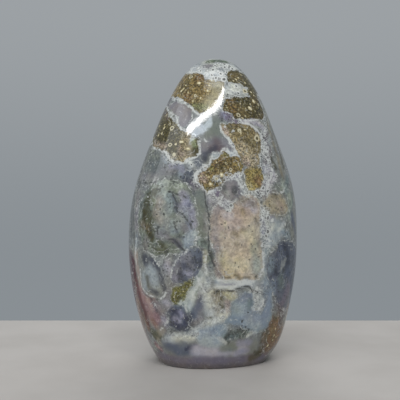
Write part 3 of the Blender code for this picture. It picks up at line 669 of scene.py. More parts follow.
FRONT_DUST: tuple[Dust, ...] = (
    # The froth of the crown, calmer marks under the painted reflection veil beside the highlight, and clear
    # places beside the crown.
    Dust(Grain.LACE, 0.8, 2.6, (((-8, 101), (-1, 100.4), (2, 98.8)), ((2, 102), (6, 101.6)))),
    # Fewer orbs and calmer marks where the painted reflection veil lies beside the highlight.
    Dust(Grain.ORBS, 0.15, 3.6, (((1.6, 95.4), (1.2, 92), (-1.6, 89.2)),)),
    Dust(Grain.CLEAR, 0.6, 3.6, (((1.6, 95.4), (1.2, 92), (-1.6, 89.2)),)),
    Dust(Grain.ORBS, 0.05, 2.2, (((-11.2, 98.2), (-14.4, 93)), ((-8, 75), (-7.2, 71.8)))),
    Dust(Grain.CLEAR, 0.8, 2.2, (((-11.2, 98.2), (-14.4, 93)), ((-8, 75), (-7.2, 71.8)))),
    Dust(Grain.LACE, 0.35, 2.6, (
        ((-17, 70), (-15, 68.6)), ((-8.6, 68), (-6.6, 66.6)), ((-7, 62), (-5, 60)),
    )),
    Dust(Grain.CLEAR, 0.95, 5, (((-5, 83), (-3, 78)), ((0, 82), (2, 75)), ((-3, 74), (0, 74)))),
    Dust(Grain.LACE, 0.8, 2.8, (((17.5, 80), (18.5, 72), (19.5, 64)), ((18.6, 60), (17.4, 57)))),
    Dust(Grain.LACE, 0.8, 2, (((1, 62.8), (9, 63.3)), ((10, 61), (11, 58)), ((12, 57.6), (15, 57)))),
    Dust(Grain.LACE, 0.8, 2.5, (((-0.6, 57), (3, 55), (5.4, 53)),)),
    Dust(Grain.LACE, 0.9, 3.2, (((18, 51), (18.5, 45), (18.5, 39)),)),
    Dust(Grain.LACE, 0.35, 3.4, (((-1.6, 24), (-0.6, 17), (3, 14.2)),)),
    Dust(Grain.LACE, 0.4, 2.2, (((-14, 7), (-6.6, 8.4), (0, 12.6)),)),
    Dust(Grain.CLEAR, 0.6, 2.4, (((-3.6, 30), (-8, 20.6)), ((-24, 30), (-22, 25)))),
    Dust(Grain.CLEAR, 0.7, 3.2, (((21.6, 48), (23.4, 44.6), (21, 41)),)),
    Dust(Grain.CLEAR, 0.55, 5, (((-20, 66), (-12, 65)),)),
    Dust(Grain.MOSS, 0.9, 3, (((-20, 59), (-23.2, 54), (-23.6, 49), (-22, 43)),)),
    Dust(Grain.SPECKS, 0.7, 3, (((-20, 59), (-23.2, 54), (-23.6, 49), (-22, 43), (-17, 39)),)),
    Dust(Grain.CLEAR, 0.8, 4.5, (
        ((-29.4, 58), (-30, 46), (-29.6, 36)), ((-28.4, 24), (-25.4, 12), (-22, 4)),
    )),
    Dust(Grain.CLEAR, 0.5, 3.6, (
        ((-15.6, 32), (-15.4, 24), (-16.4, 18)), ((8, 18), (15, 12.6)), ((-3, 8), (3, 9)),
    )),
    Dust(Grain.LACE, 0.8, 2.2, (((14.6, 20), (16.5, 18.5)), ((13.4, 24.4), (15.4, 22.4)))),
    Dust(Grain.LACE, 0.5, 2.2, (((4, 22), (7, 21.4)), ((1, 20), (2, 17)))),
    Dust(Grain.SPECKS, 0.9, 2.6, (((5, 8), (8, 8.6), (12, 9.6)),)),
    Dust(Grain.SPECKS, 0.8, 2.4, (((3, 84.3), (9.5, 83)), ((0, 57.6), (3, 58)))),
    Dust(Grain.SPECKS, 0.7, 3, (((-18, 68), (-12, 64)), ((-10, 62), (-5, 60)), ((-18, 32), (-16, 25)))),
    Dust(Grain.MOSS, 0.6, 2.5, (((-17.5, 7), (-20, 8)),)),
    Dust(Grain.CLEAR, 0.9, 5, (((-15, 3.6), (-4, 2.4), (6, 2.4), (14, 4)),)),
    Dust(Grain.CLEAR, 0.9, 4, (((-22, 2), (-19, -0.6), (-8, -2.6), (6, -2.6), (17, -0.6), (21, 2)),)),
    Dust(Grain.LACE, 0, 5, (((-15, 2.6), (-4, 2.4), (6, 2.4), (14, 3)),)),
    Dust(Grain.CONTOURS, 0.1, 5, (((-15, 2.6), (-4, 2.4), (6, 2.4), (14, 3)),)),
    Dust(Grain.CLEAR, 0.8, 4, (((-27, 36), (-25.5, 24), (-22, 14), (-19, 9)), ((-7, 18), (-4.4, 17)))),
    Dust(Grain.LACE, 0, 4, (((-27, 36), (-25.5, 24), (-22, 14), (-19, 9)),)),
    Dust(Grain.CLEAR, 0.8, 2.2, (
        ((1.6, 26.2), (14.6, 26)), ((-4.4, 57), (-4.4, 44)), ((17.8, 36), (18.4, 27)),
    )),
    Dust(Grain.CLEAR, 0.7, 3, (((-27.6, 60), (-28.6, 46)), ((27.6, 56), (28.4, 44)), ((20, 82), (25, 64)))),
)

FRONT_LIGHT_VEINS: tuple[Vein, ...] = (
    # Round the fields of the crown and the shoulders.
    Vein(0.7, (
        ((-14.3, 90.4), (-12, 90), (-9.4, 88.9), (-8.4, 87.6), (-7.2, 86.6), (-6, 85.6), (-4.8, 85)),
        ((2, 81), (2.6, 79.6), (3.4, 78.4), (4.6, 77.4), (5.6, 76), (5.8, 74.6), (7.2, 73), (8, 71.6)),
        ((-14.9, 84.8), (-13.4, 84.4)),
    )),
    Vein(0.5, (
        ((-16.5, 88), (-15.6, 86), (-13.4, 85), (-12.7, 83.4), (-11.9, 81.6), (-11.1, 80.2), (-9.6, 79.8)),
        ((-3.6, 77), (-2.9, 76.2), (-2.1, 75.6)), ((-5.2, 67.9), (-3.2, 67.9)),
        ((-27, 42), (-27, 36), (-26.6, 32)), ((-6, 28), (-3.6, 24.4), (-2.4, 21.6)),
        ((18.6, 59), (19.2, 62), (20.4, 64)), ((24.9, 59.4), (23.6, 57.4), (21, 57.8)),
    )),
    Vein(0.65, (
        (
            (-20.9, 73.6), (-19, 73), (-17.2, 72.4), (-16, 71), (-15, 69.6), (-13.5, 68.7), (-12, 68.1),
            (-10.5, 68), (-9.5, 68.4), (-9, 69.4),
        ),
        ((-5.3, 76), (-4.7, 74.6), (-4.7, 73.2), (-5.4, 71.6), (-6.4, 70.4), (-7.5, 69.4)),
        (
            (-6.1, 64), (-5, 65.2), (-3.9, 66.1), (-2.6, 66.8), (-1.6, 68.6), (-0.9, 70.2), (-0.5, 71.5),
            (0.2, 72), (1.2, 71.4), (2.2, 71.5), (3.2, 72.4), (4.2, 73.3), (5, 72.1), (6, 71.6), (7, 72.2),
        ),
        ((-6.1, 64), (-5.9, 62.6), (-4.9, 61.4), (-4, 59.7), (-2.9, 58.3), (-1.6, 57.7), (-0.4, 59)),
        ((10.6, 82.2), (12.6, 81.6), (14.2, 80.4), (15.6, 79), (16.6, 77.6)),
    )),
    # Round the lobes below the oval.
    Vein(0.5, (
        ((-6.2, 41.8), (-3.5, 42), (-1, 42.3)),
        (
            (-25.5, 31), (-25.3, 26.5), (-24.5, 24), (-22.5, 22), (-20, 20.9), (-18.4, 20.4), (-17.2, 22),
            (-16.6, 23.4),
        ),
        ((-22.4, 36.2), (-20.6, 34.2), (-19.2, 32.6)),
        ((-8.7, 38.1), (-10.5, 36.3), (-12.4, 34.6), (-13.7, 32.5), (-14.5, 30.5), (-14.6, 28.5)),
        ((-2.6, 36), (-2.7, 31), (-2.4, 29.4)), ((-4.4, 27.4), (-5.6, 25), (-7.2, 22.4), (-7.8, 20.4)),
        ((-9.4, 19.4), (-9.7, 17.4), (-9.5, 15.8)), ((-18.4, 10), (-16.8, 11.6), (-16, 13)),
    )),
    # The white band under the panel.
    Vein(0.7, (
        ((1.4, 27.4), (6, 27.4), (9, 26.7), (14, 26.6)),
        ((1, 25), (4, 24.9), (7, 24.9), (9.6, 25.4), (13.6, 25.2)),
        ((17.4, 20), (17, 18.4), (16.2, 17.4), (14.4, 17.2)),
        ((16.4, 28.4), (17.2, 30.6), (17.7, 34), (17.4, 38)),
    )),
)

FRONT_DARK_VEINS: tuple[Vein, ...] = (
    # Round the oval, and inside it.
    Vein(0.42, (
        (
            (-27.2, 57.5), (-25.6, 60.4), (-24.9, 62.4), (-24, 61.6), (-23.3, 61), (-21.5, 61.1),
            (-19.3, 62), (-17.1, 63.1), (-15.7, 62.9), (-13.9, 61.8), (-11.9, 60.7),
        ),
        ((-27.4, 58), (-27.9, 50), (-27.8, 42)), ((-18.4, 46.6), (-19.6, 46), (-19.6, 44.4), (-19.2, 43.4)),
        ((-13.6, 47.6), (-13.2, 46), (-12.4, 45)), ((-20.6, 58.4), (-19.4, 59), (-18.4, 58.6)),
    )),
    # Down the panel's left side, and under its white band.
    Vein(0.42, (
        (
            (-4.5, 59.5), (-3.4, 58.6), (-2.8, 57), (-2.8, 55), (-2.3, 53), (-2, 51), (-1.7, 49),
            (-1.3, 47), (-1.3, 45), (-1.5, 43), (-1.3, 41), (-1.5, 39), (-1.2, 37), (-0.2, 34), (0.5, 32),
        ),
        ((0.3, 23), (2, 24), (4, 23.6), (8, 23.7), (10, 24.6), (12.4, 24.4), (13.8, 23.3), (15.2, 22.6)),
    )),
    # Between the oval's lobes.
    Vein(0.3, (
        (
            (-13.9, 58.2), (-13.3, 56.4), (-12.8, 54), (-12.8, 51.4), (-12, 50.5), (-10.5, 49.7),
            (-8.9, 48.2), (-7.7, 46.4), (-7.7, 45),
        ),
        ((-15.5, 58.2), (-14, 58.4), (-12, 57.4)), ((-10.2, 57.2), (-9.2, 56)),
        ((-12.4, 42.4), (-10.4, 42.4)), ((-14.8, 41.6), (-13.4, 41), (-12.4, 40), (-11, 39), (-9.6, 37.8)),
    )),
)

FRONT_ORBS: tuple[Orbs, ...] = (
    # Holes in the lace, with pale shells.
    Orbs(OrbKind.HOLE, (
        (0.6, 102.3, 0.6), (1.3, 101.2, 0.6), (-8, 100.4, 0.5), (-4.3, 100.5, 0.6), (-0.5, 99, 0.6),
        (0.8, 98.1, 0.7), (2.8, 99.1, 0.6), (4.6, 99.7, 0.6), (3.6, 97.5, 1), (8, 95, 0.6),
        (8.7, 92.6, 0.7), (18, 82, 0.7), (18.3, 79.9, 0.7), (18.5, 72.7, 0.7), (17, 72.4, 0.6),
        (18.2, 75, 0.6), (19.2, 69, 0.6), (20.5, 65.7, 0.6), (22, 64, 0.6), (21.5, 62.2, 0.6),
        (17.9, 62.9, 0.5), (-7.3, 67.3, 0.6), (17.6, 51.6, 0.5), (18.9, 50.9, 0.5), (17.3, 48.8, 0.5),
        (20.6, 48.3, 0.6), (23.8, 48.7, 0.5), (25, 46.6, 0.5), (19.5, 41.1, 0.5), (20.6, 40.5, 0.5),
        (19.2, 39.2, 0.5), (16.9, 39.2, 0.5), (4, 81.1, 0.5), (5.8, 75.5, 0.7), (9.4, 83.1, 0.5),
        (6.8, 79.9, 0.5), (4, 101.4, 0.7), (5.4, 101.2, 0.7), (6.8, 100.8, 0.7), (11, 58.3, 0.5),
    )),
    # Ivory dots and larger rings in the brown fields.
    Orbs(OrbKind.DOT, (
        (-5, 96.1, 0.6), (-11.1, 93.5, 0.5), (-10.5, 94.1, 0.4), (-9.5, 95.4, 0.4), (-1.3, 95.3, 0.5),
        (-1.8, 93.5, 0.45), (-4.7, 91.1, 0.4), (-7, 90, 0.4), (-8.8, 92.8, 0.4), (8, 97.3, 0.4),
        (8.9, 97.9, 0.4), (6.9, 96.8, 0.35), (11.1, 96.3, 0.5), (5, 87.5, 0.4), (9.1, 89.1, 0.4),
        (11.2, 84.9, 0.4), (13.1, 92.9, 0.5), (14.2, 91.6, 0.4), (14.3, 89.7, 0.7), (13, 88.6, 0.4),
        (12.6, 87.4, 0.7), (13.3, 86.9, 0.6), (-17.4, 80.1, 0.5), (-18, 78.1, 0.5), (-19.4, 77.4, 0.5),
        (-13.3, 74.8, 0.5), (-11.6, 75.2, 0.5), (-10.9, 75.3, 0.5), (-8.9, 73.1, 0.6), (-8.2, 73, 0.5),
        (-10.6, 72.2, 0.5), (9.3, 78.2, 0.45), (3, 64.1, 0.75), (0.6, 68.1, 0.5), (1.8, 65.3, 0.4),
        (-1, 61, 0.7), (-1.7, 61.6, 0.5), (0.8, 59.8, 0.4), (21.8, 10.2, 0.4), (21.2, 7.9, 0.4),
        (20.6, 6.4, 0.35), (18.7, 4.1, 0.5), (-13.4, 23.2, 0.45), (-14, 22.3, 0.35), (-13.4, 21.2, 0.35),
        (-11, 23.2, 0.35), (10.8, 79.8, 0.4), (7.8, 88.3, 0.35), (11.2, 87.6, 0.4),
    )),
    Orbs(OrbKind.RING, (
        (-6.2, 92, 0.6), (-7.5, 98.5, 0.7), (11.1, 93.1, 1), (8.8, 85.2, 0.7), (-14.5, 80.2, 0.85),
        (-15.2, 74.4, 0.8), (-13.6, 71.4, 0.7), (-15.4, 81.8, 0.6), (9.2, 79.7, 0.75), (15.1, 77, 1.15),
        (6, 65.5, 0.7), (1.1, 62.8, 0.75),
    )),
    # Pale blobs, and dark spots in the fields below.
    Orbs(OrbKind.BLOB, (
        (-5, 101.6, 0.9), (-2, 100.4, 0.8), (5.7, 6.5, 0.4), (-23.1, 56.3, 0.45), (-1, 37.5, 0.4),
        (14.8, 17.2, 0.6), (16.6, 17.4, 0.5), (3.4, 14.3, 0.6), (13.8, 20.9, 0.4), (16.1, 41.4, 0.4),
        (-5.6, 8.4, 0.6),
    )),
    Orbs(OrbKind.SPOT, (
        (5.3, 92.3, 0.4), (-17.3, 71.3, 0.5), (-15.9, 69.2, 0.4), (-17.2, 66.6, 0.5), (-11.4, 63, 0.5),
        (-19.7, 50.5, 0.45), (-17, 50.3, 0.45), (-15.3, 58.2, 0.5), (-17.5, 59.7, 0.45), (-18.6, 52, 0.4),
        (-17, 43.8, 0.45), (-20.8, 44.4, 0.4), (-23, 39.2, 0.5), (-17, 37, 0.5), (-7.5, 48, 0.4),
        (14, 42, 0.4), (14.7, 37.9, 0.4), (13.3, 36.7, 0.4), (16.5, 36.5, 0.35), (12.9, 40, 0.3),
        (11.9, 16.3, 0.4), (10, 12.8, 0.5), (4.6, 51.4, 0.4), (13.9, 70, 0.35), (9.4, 72.7, 0.35),
        (11.3, 71.3, 0.35), (10.4, 75.2, 0.4), (16.6, 70.6, 0.5), (13.7, 58.5, 0.4), (16.6, 54.4, 0.4),
        (-17.3, 30.7, 0.4), (-15.5, 31.4, 0.4), (-20, 22.3, 0.4), (-17.9, 20.8, 0.35), (-7.4, 26.9, 0.4),
        (-5, 37.4, 0.4),
    )),
    # Violet grains in the clear pockets.
    Orbs(OrbKind.VIOLET, (
        (4, 85.3, 0.5), (5.2, 85.3, 0.4), (5.9, 84.6, 0.5), (7, 83.4, 0.45), (8.2, 82.7, 0.5),
        (4.6, 83.9, 0.5), (1.5, 57, 0.7), (2.2, 58.1, 0.5), (15.3, 81, 0.4), (16.7, 79.9, 0.35),
    )),
)

FRONT = Drawing(
    Side.FRONT, FRONT_PATCHES, FRONT_GROUND, FRONT_FIELDS, FRONT_DUST,
    FRONT_LIGHT_VEINS, FRONT_DARK_VEINS, FRONT_ORBS,
)

RIGHT_PATCHES: tuple[Patch, ...] = (
    # Orbs under the shoulder, a sandy field and a slate one.
    Patch(Tone.OLIVE_BEIGE, soft=0.5, orbs=0.35, moss=0.3, outline=(
        (0.6, 84), (4.6, 85.4), (8.4, 82.4), (9.4, 77), (7.4, 73), (3.6, 70), (0.8, 72.6), (-0.8, 78),
    )),
    Patch(Tone.SAND, rim=0.3, soft=0.7, clear=0.3, specks=0.2, contours=0.3, outline=(
        (3.6, 61), (8, 63), (11.6, 59), (12.6, 53), (10.6, 48.6), (7.4, 45.6), (4.4, 48), (2.4, 54),
    )),
    Patch(Tone.SLATE, rim=0.2, soft=0.9, clear=0.5, specks=0.4, contours=0.3, outline=(
        (3.6, 41), (7, 43), (11, 40.4), (12, 34), (10, 27.6), (6.6, 24.6), (3.4, 27), (2.4, 34),
    )),
)

RIGHT_GROUND: tuple[Wash, ...] = (
    # Grey, blue and lilac between them, and pink low down.
    Wash(Tone.TEAL_GREY, 5, 0.7, (((0, 66), (1, 52), (0, 44)), ((12, 70), (13.6, 58)))),
    Wash(Tone.PALE_BLUE, 3, 0.7, (((4, 68), (8, 66)), ((13.4, 48), (13.6, 38)))),
    Wash(Tone.MIST, 4, 0.7, (((6, 92), (2, 97)), ((12, 24), (9, 18)))),
    Wash(Tone.MAUVE_GREY, 4, 0.8, (((0, 24), (1.6, 14)), ((7, 21), (12, 12)))),
    Wash(Tone.PINK, 3, 0.6, (((3, 20), (4, 10)),)),
    Wash(Tone.LILAC, 3.4, 0.7, (((9, 8), (2, 4)), ((0, 38), (-0.6, 30)))),
    Wash(Tone.CREAM, 1.4, 0.7, (
        ((1.4, 66), (4, 64.6), (9, 65.6), (13, 62)), ((2, 22.6), (7, 22), (12.6, 24)),
    )),
)

RIGHT_FIELDS: tuple[Wash, ...] = (
    Wash(Tone.DARK_OLIVE, 2.4, 0.6, (((1.6, 82), (3, 79)), ((6.4, 73.6), (7.6, 76)))),
    Wash(Tone.PINK_GREY, 2.6, 0.8, (((6, 59), (8, 56)), ((7, 50), (8, 48)))),
    Wash(Tone.MIST, 2.2, 0.7, (((6.4, 38), (7.4, 33)),)),
    Wash(Tone.SLATE_DARK, 1.6, 0.8, (((9.6, 38), (9.6, 30)), ((4.6, 29), (6.4, 27)))),
)

RIGHT_DUST: tuple[Dust, ...] = (
    Dust(Grain.LACE, 0.7, 2.6, (((1, 67), (9, 67), (13.4, 63)), ((13.4, 46), (13, 28)))),
    Dust(Grain.CLEAR, 0.8, 4.4, (((-0.6, 60), (0, 44)), ((3, 21), (8, 12)), ((0, 6), (10, 5)))),
)

RIGHT_LIGHT_VEINS: tuple[Vein, ...] = (
    Vein(0.6, (
        ((2, 63), (0.8, 55), (2.4, 47), (7.4, 43.8), (11.4, 46)),
        ((1.4, 43), (1, 34), (2.4, 25.6), (7, 22.8)),
    )),
)

RIGHT_DARK_VEINS: tuple[Vein, ...] = (
    Vein(0.6, (((-1.6, 68), (-2, 56), (-0.8, 46)), ((13.6, 56), (13.2, 48.6), (14.4, 40)))),
)

RIGHT_ORBS: tuple[Orbs, ...] = (
    Orbs(OrbKind.DOT, ((3.4, 82.6, 0.5), (6, 80, 0.5), (2, 76.6, 0.6), (6, 75, 0.4), (4.6, 72.6, 0.4))),
    Orbs(OrbKind.RING, ((4, 78.6, 0.8), (7.4, 78, 0.6))),
    Orbs(OrbKind.SPOT, ((6, 55, 0.4), (9, 52, 0.4), (8.6, 60, 0.35), (1, 50, 0.4), (12.6, 60, 0.5))),
)

RIGHT = Drawing(
    Side.RIGHT, RIGHT_PATCHES, RIGHT_GROUND, RIGHT_FIELDS, RIGHT_DUST,
    RIGHT_LIGHT_VEINS, RIGHT_DARK_VEINS, RIGHT_ORBS,
)

LEFT_PATCHES: tuple[Patch, ...] = (
    # A lobe of green-grey shells, with orbs above it.
    Patch(Tone.GREEN_GREY, rim=0.3, soft=0.7, contours=0.6, specks=0.4, moss=0.3, outline=(
        (-7.4, 62), (-3, 64.4), (1, 61), (2, 54), (0.6, 47), (-4, 44.4), (-8.4, 47.4), (-9.4, 55),
    )),
    Patch(Tone.OLIVE_BROWN, orbs=0.4, moss=0.4, outline=(
        (-8, 82), (-4.6, 84), (-0.6, 82.4), (1, 78), (-1, 73.6), (-4.6, 72.4), (-8, 75), (-9, 78.6),
    )),
)

LEFT_GROUND: tuple[Wash, ...] = (
    # Cool greys above.
    Wash(Tone.TEAL_GREY, 5, 0.7, (((1, 70), (3, 58), (3, 46)), ((-12, 68), (-13.6, 56)))),
    Wash(Tone.PALE_BLUE, 3, 0.7, (((-4, 68), (-9, 67)), ((-12.6, 46), (-13, 40)))),
    Wash(Tone.MAUVE_GREY, 5, 0.8, (((-10, 38), (-4, 40), (2, 38)), ((-13, 12), (-10, 6)))),
    # The pink and maroon zone, which slants down from the front's left edge.
    Wash(Tone.PINK, 6, 0.7, (((2, 33), (0, 26), (-3, 18), (-5, 11)),)),
    Wash(Tone.MAROON, 3.4, 0.75, (
        ((4, 36), (3.4, 28), (2.4, 20), (1.4, 12)), ((-4, 24), (-7, 17), (-8.6, 11)),
    )),
    Wash(Tone.RED_BROWN, 2.6, 0.6, (((-1, 22), (-3.4, 15), (-4, 9)), ((3, 16), (3, 8)))),
    Wash(Tone.MAUVE_DARK, 3.4, 0.75, (((-4, 31), (-8, 24), (-11, 16), (-12, 9)), ((2, 9), (-6, 5)))),
    Wash(Tone.MAUVE_GREY, 3.4, 0.7, (((-9, 31), (-5, 34), (-2, 34)),)),
    Wash(Tone.MAROON, 1.8, 0.6, (((1.4, 43), (2, 36)), ((-4.4, 36), (-4, 30)))),
    Wash(Tone.PINK, 2.2, 0.5, (((-1.6, 38), (-0.6, 32)),)),
    Wash(Tone.SLATE, 2.4, 0.5, (((-6, 36), (0, 38), (5, 38.6)), ((-12, 28), (-13, 20)))),
    Wash(Tone.PINK_GREY, 1.4, 0.6, (((1, 31), (-0.6, 24), (-3, 17)), ((-7.4, 22), (-9.4, 15)))),
    Wash(Tone.LILAC, 3.4, 0.7, (((-9, 4), (0, 3)),)),
)

LEFT_FIELDS: tuple[Wash, ...] = (
    Wash(Tone.PALE_GREEN, 2.2, 0.7, (((-6, 60.6), (-2, 61.4)), ((-6.6, 50), (-5, 47)))),
    Wash(Tone.LILAC, 2.4, 0.7, (((-4.6, 57), (-4, 51)),)),
    Wash(Tone.MOSS, 1.6, 0.8, (((-0.6, 58), (0, 51)), ((-8, 53), (-7.6, 57)))),
)

LEFT_DUST: tuple[Dust, ...] = (
    Dust(Grain.LACE, 0.6, 2.6, (((-10, 66), (-4, 67), (2, 65)), ((-10, 42), (-4, 41.6), (1, 42)))),
    Dust(Grain.CLEAR, 0.7, 7, (((2, 33), (-3, 20), (-5, 10)),)),
)

LEFT_LIGHT_VEINS: tuple[Vein, ...] = (
    Vein(0.6, (
        ((-10, 63), (-6, 66), (0, 64), (3, 58)), ((-6.4, 58.6), (-3, 59), (-1.6, 54), (-3, 49.6), (-6, 51)),
    )),
)

LEFT_DARK_VEINS: tuple[Vein, ...] = (
    Vein(0.6, (((-11, 62), (-10.8, 54), (-9.6, 46)), ((-4, 28), (-7, 21), (-9.4, 14)))),
)

LEFT_ORBS: tuple[Orbs, ...] = (
    Orbs(OrbKind.DOT, (
        (-6.4, 81, 0.5), (-3, 80.4, 0.6), (-5, 77.4, 0.5), (-1.6, 76.6, 0.5), (-5.6, 74.6, 0.4),
    )),
    Orbs(OrbKind.RING, ((-4, 82, 0.7), (-7, 78, 0.7))),
    Orbs(OrbKind.SPOT, ((-3, 55, 0.4), (-6, 54, 0.4), (-12, 60, 0.5), (-2, 48, 0.4))),
)

LEFT = Drawing(
    Side.LEFT, LEFT_PATCHES, LEFT_GROUND, LEFT_FIELDS, LEFT_DUST,
    LEFT_LIGHT_VEINS, LEFT_DARK_VEINS, LEFT_ORBS,
)

BACK_PATCHES: tuple[Patch, ...] = (
    # Brown on the far side of the crown.
    Patch(Tone.GOLD_BROWN, rim=0.4, orbs=0.5, moss=0.4, outline=(
        (-5, 101), (-1, 102.4), (3.4, 101.4), (4.6, 98.6), (1.4, 96.8), (-2.6, 97), (-5.6, 98.6),
    )),
    # The crown's brown fields, which come round from the front, with a hazy one between them.
    Patch(Tone.DARK_BROWN, rim=0.6, orbs=0.5, moss=0.4, outline=(
        (-15.8, 92), (-13.2, 96), (-10, 98.4), (-6.5, 98), (-4.6, 95.6), (-5.4, 92), (-3.6, 89.6),
        (-5, 86.2), (-8.4, 85), (-11.6, 86.4), (-14.4, 84.6), (-17.2, 86), (-17.4, 89),
    )),
    Patch(Tone.GOLD_BROWN, rim=0.6, orbs=0.6, moss=0.3, outline=(
        (3.5, 98.6), (7, 99.6), (10.5, 98), (13.4, 94.8), (16, 91.2), (14.4, 88.4), (11.6, 88.8),
        (8.8, 86.4), (6.2, 87.6), (5.4, 91.4), (2.8, 93.4), (2.2, 96.6),
    )),
    Patch(Tone.HAZE_OLIVE, rim=0.4, clear=0.5, orbs=0.15, outline=(
        (-2.2, 92.4), (0.6, 92.8), (2.6, 90.4), (3.4, 86.4), (2.2, 83.4), (-0.6, 82.8), (-2.6, 85.6),
    )),
    # The shoulders' orbs, with a clear grey-mauve field between them.
    Patch(Tone.OLIVE_BROWN, orbs=0.4, moss=0.45, outline=(
        (9, 84), (12.6, 85), (16.4, 84.4), (19.6, 80), (21.6, 75.4), (20.6, 71.8), (17, 70.6), (13.4, 72.4),
        (11.8, 75.6), (8.6, 77.4), (7.2, 81),
    )),
    Patch(Tone.OLIVE_BEIGE, soft=0.5, orbs=0.35, moss=0.3, outline=(
        (-17.6, 80.6), (-14.4, 81.8), (-10, 80.4), (-7.4, 77.4), (-8.6, 73.4), (-11.4, 71.6), (-13.6, 68.4),
        (-17.2, 69.6), (-19.4, 74.6),
    )),
    Patch(Tone.MAUVE_GREY, rim=0.4, soft=0.5, clear=0.8, outline=(
        (-4.6, 80.8), (-1, 79.6), (3.2, 80), (5.2, 76.6), (6.6, 73), (3.6, 70.6), (-0.4, 72.4), (-3.8, 72),
        (-5.6, 76.4),
    )),
    Patch(Tone.YELLOW_OLIVE, orbs=0.4, moss=0.4, outline=(
        (-6, 67), (-2, 69), (2.6, 67.6), (6, 68.4), (6.4, 65), (2.6, 63.4), (-1, 64.4), (-4.4, 62.6),
    )),
    Patch(Tone.GOLD_BROWN, orbs=0.45, moss=0.4, outline=(
        (12.6, 66.4), (16.6, 68), (21, 66.8), (23, 63), (20.6, 60.4), (17.4, 61.6), (13.8, 60.2),
    )),
    # A broad lobe that fills the middle, and a sandy field beside it.
    Patch(Tone.SEA_GREY, rim=0.3, soft=0.7, contours=0.7, lace=0.15, specks=0.3, moss=0.2, outline=(
        (2, 59.6), (7.6, 60), (13.4, 57), (16.4, 51.6), (17, 45), (15.4, 38.6), (11, 33.6), (5, 32),
        (-0.8, 34.6), (-4, 40), (-4.6, 47), (-2.6, 54.4),
    )),
    Patch(Tone.SAND, rim=0.4, soft=0.5, clear=0.3, specks=0.15, contours=0.1, outline=(
        (-16.6, 55), (-12.4, 57), (-8.4, 55), (-7.6, 49.6), (-9, 44.6), (-8, 39.6), (-11, 35.6),
        (-15.4, 36.8), (-17.2, 42), (-16.4, 48),
    )),
    # Dark lobes at both sides and low down.
    Patch(Tone.SLATE, rim=0.3, soft=0.7, clear=0.5, specks=0.4, outline=(
        (18, 37), (21, 38.4), (24.2, 35.6), (25, 29.4), (23.2, 24), (19.8, 23), (17.4, 26.6), (16.6, 32),
    )),
    Patch(Tone.MOSS_GREEN, rim=0.3, soft=0.4, moss=0.7, orbs=0.15, outline=(
        (-8.4, 27), (-4, 29.6), (0.4, 28), (2.4, 24.6), (0.2, 22.6), (-2.6, 19.4), (-5.4, 21.6), (-9, 23),
    )),
    Patch(Tone.INDIGO, rim=0.3, soft=0.7, clear=0.3, specks=0.5, outline=(
        (7, 24), (10.6, 25.8), (14, 23), (14.4, 18.6), (11.4, 15.6), (8.4, 17), (6, 19.4),
    )),
    Patch(Tone.BLUE_GREY, rim=0.2, soft=1, clear=0.8, contours=0.1, outline=(
        (-20.6, 20), (-16, 23.4), (-12, 20), (-10, 14.6), (-5, 12), (1, 13.4), (4, 10), (-1, 7.6),
        (-9, 6.4), (-17, 7), (-20.4, 10.4), (-21.4, 15),
    )),
)

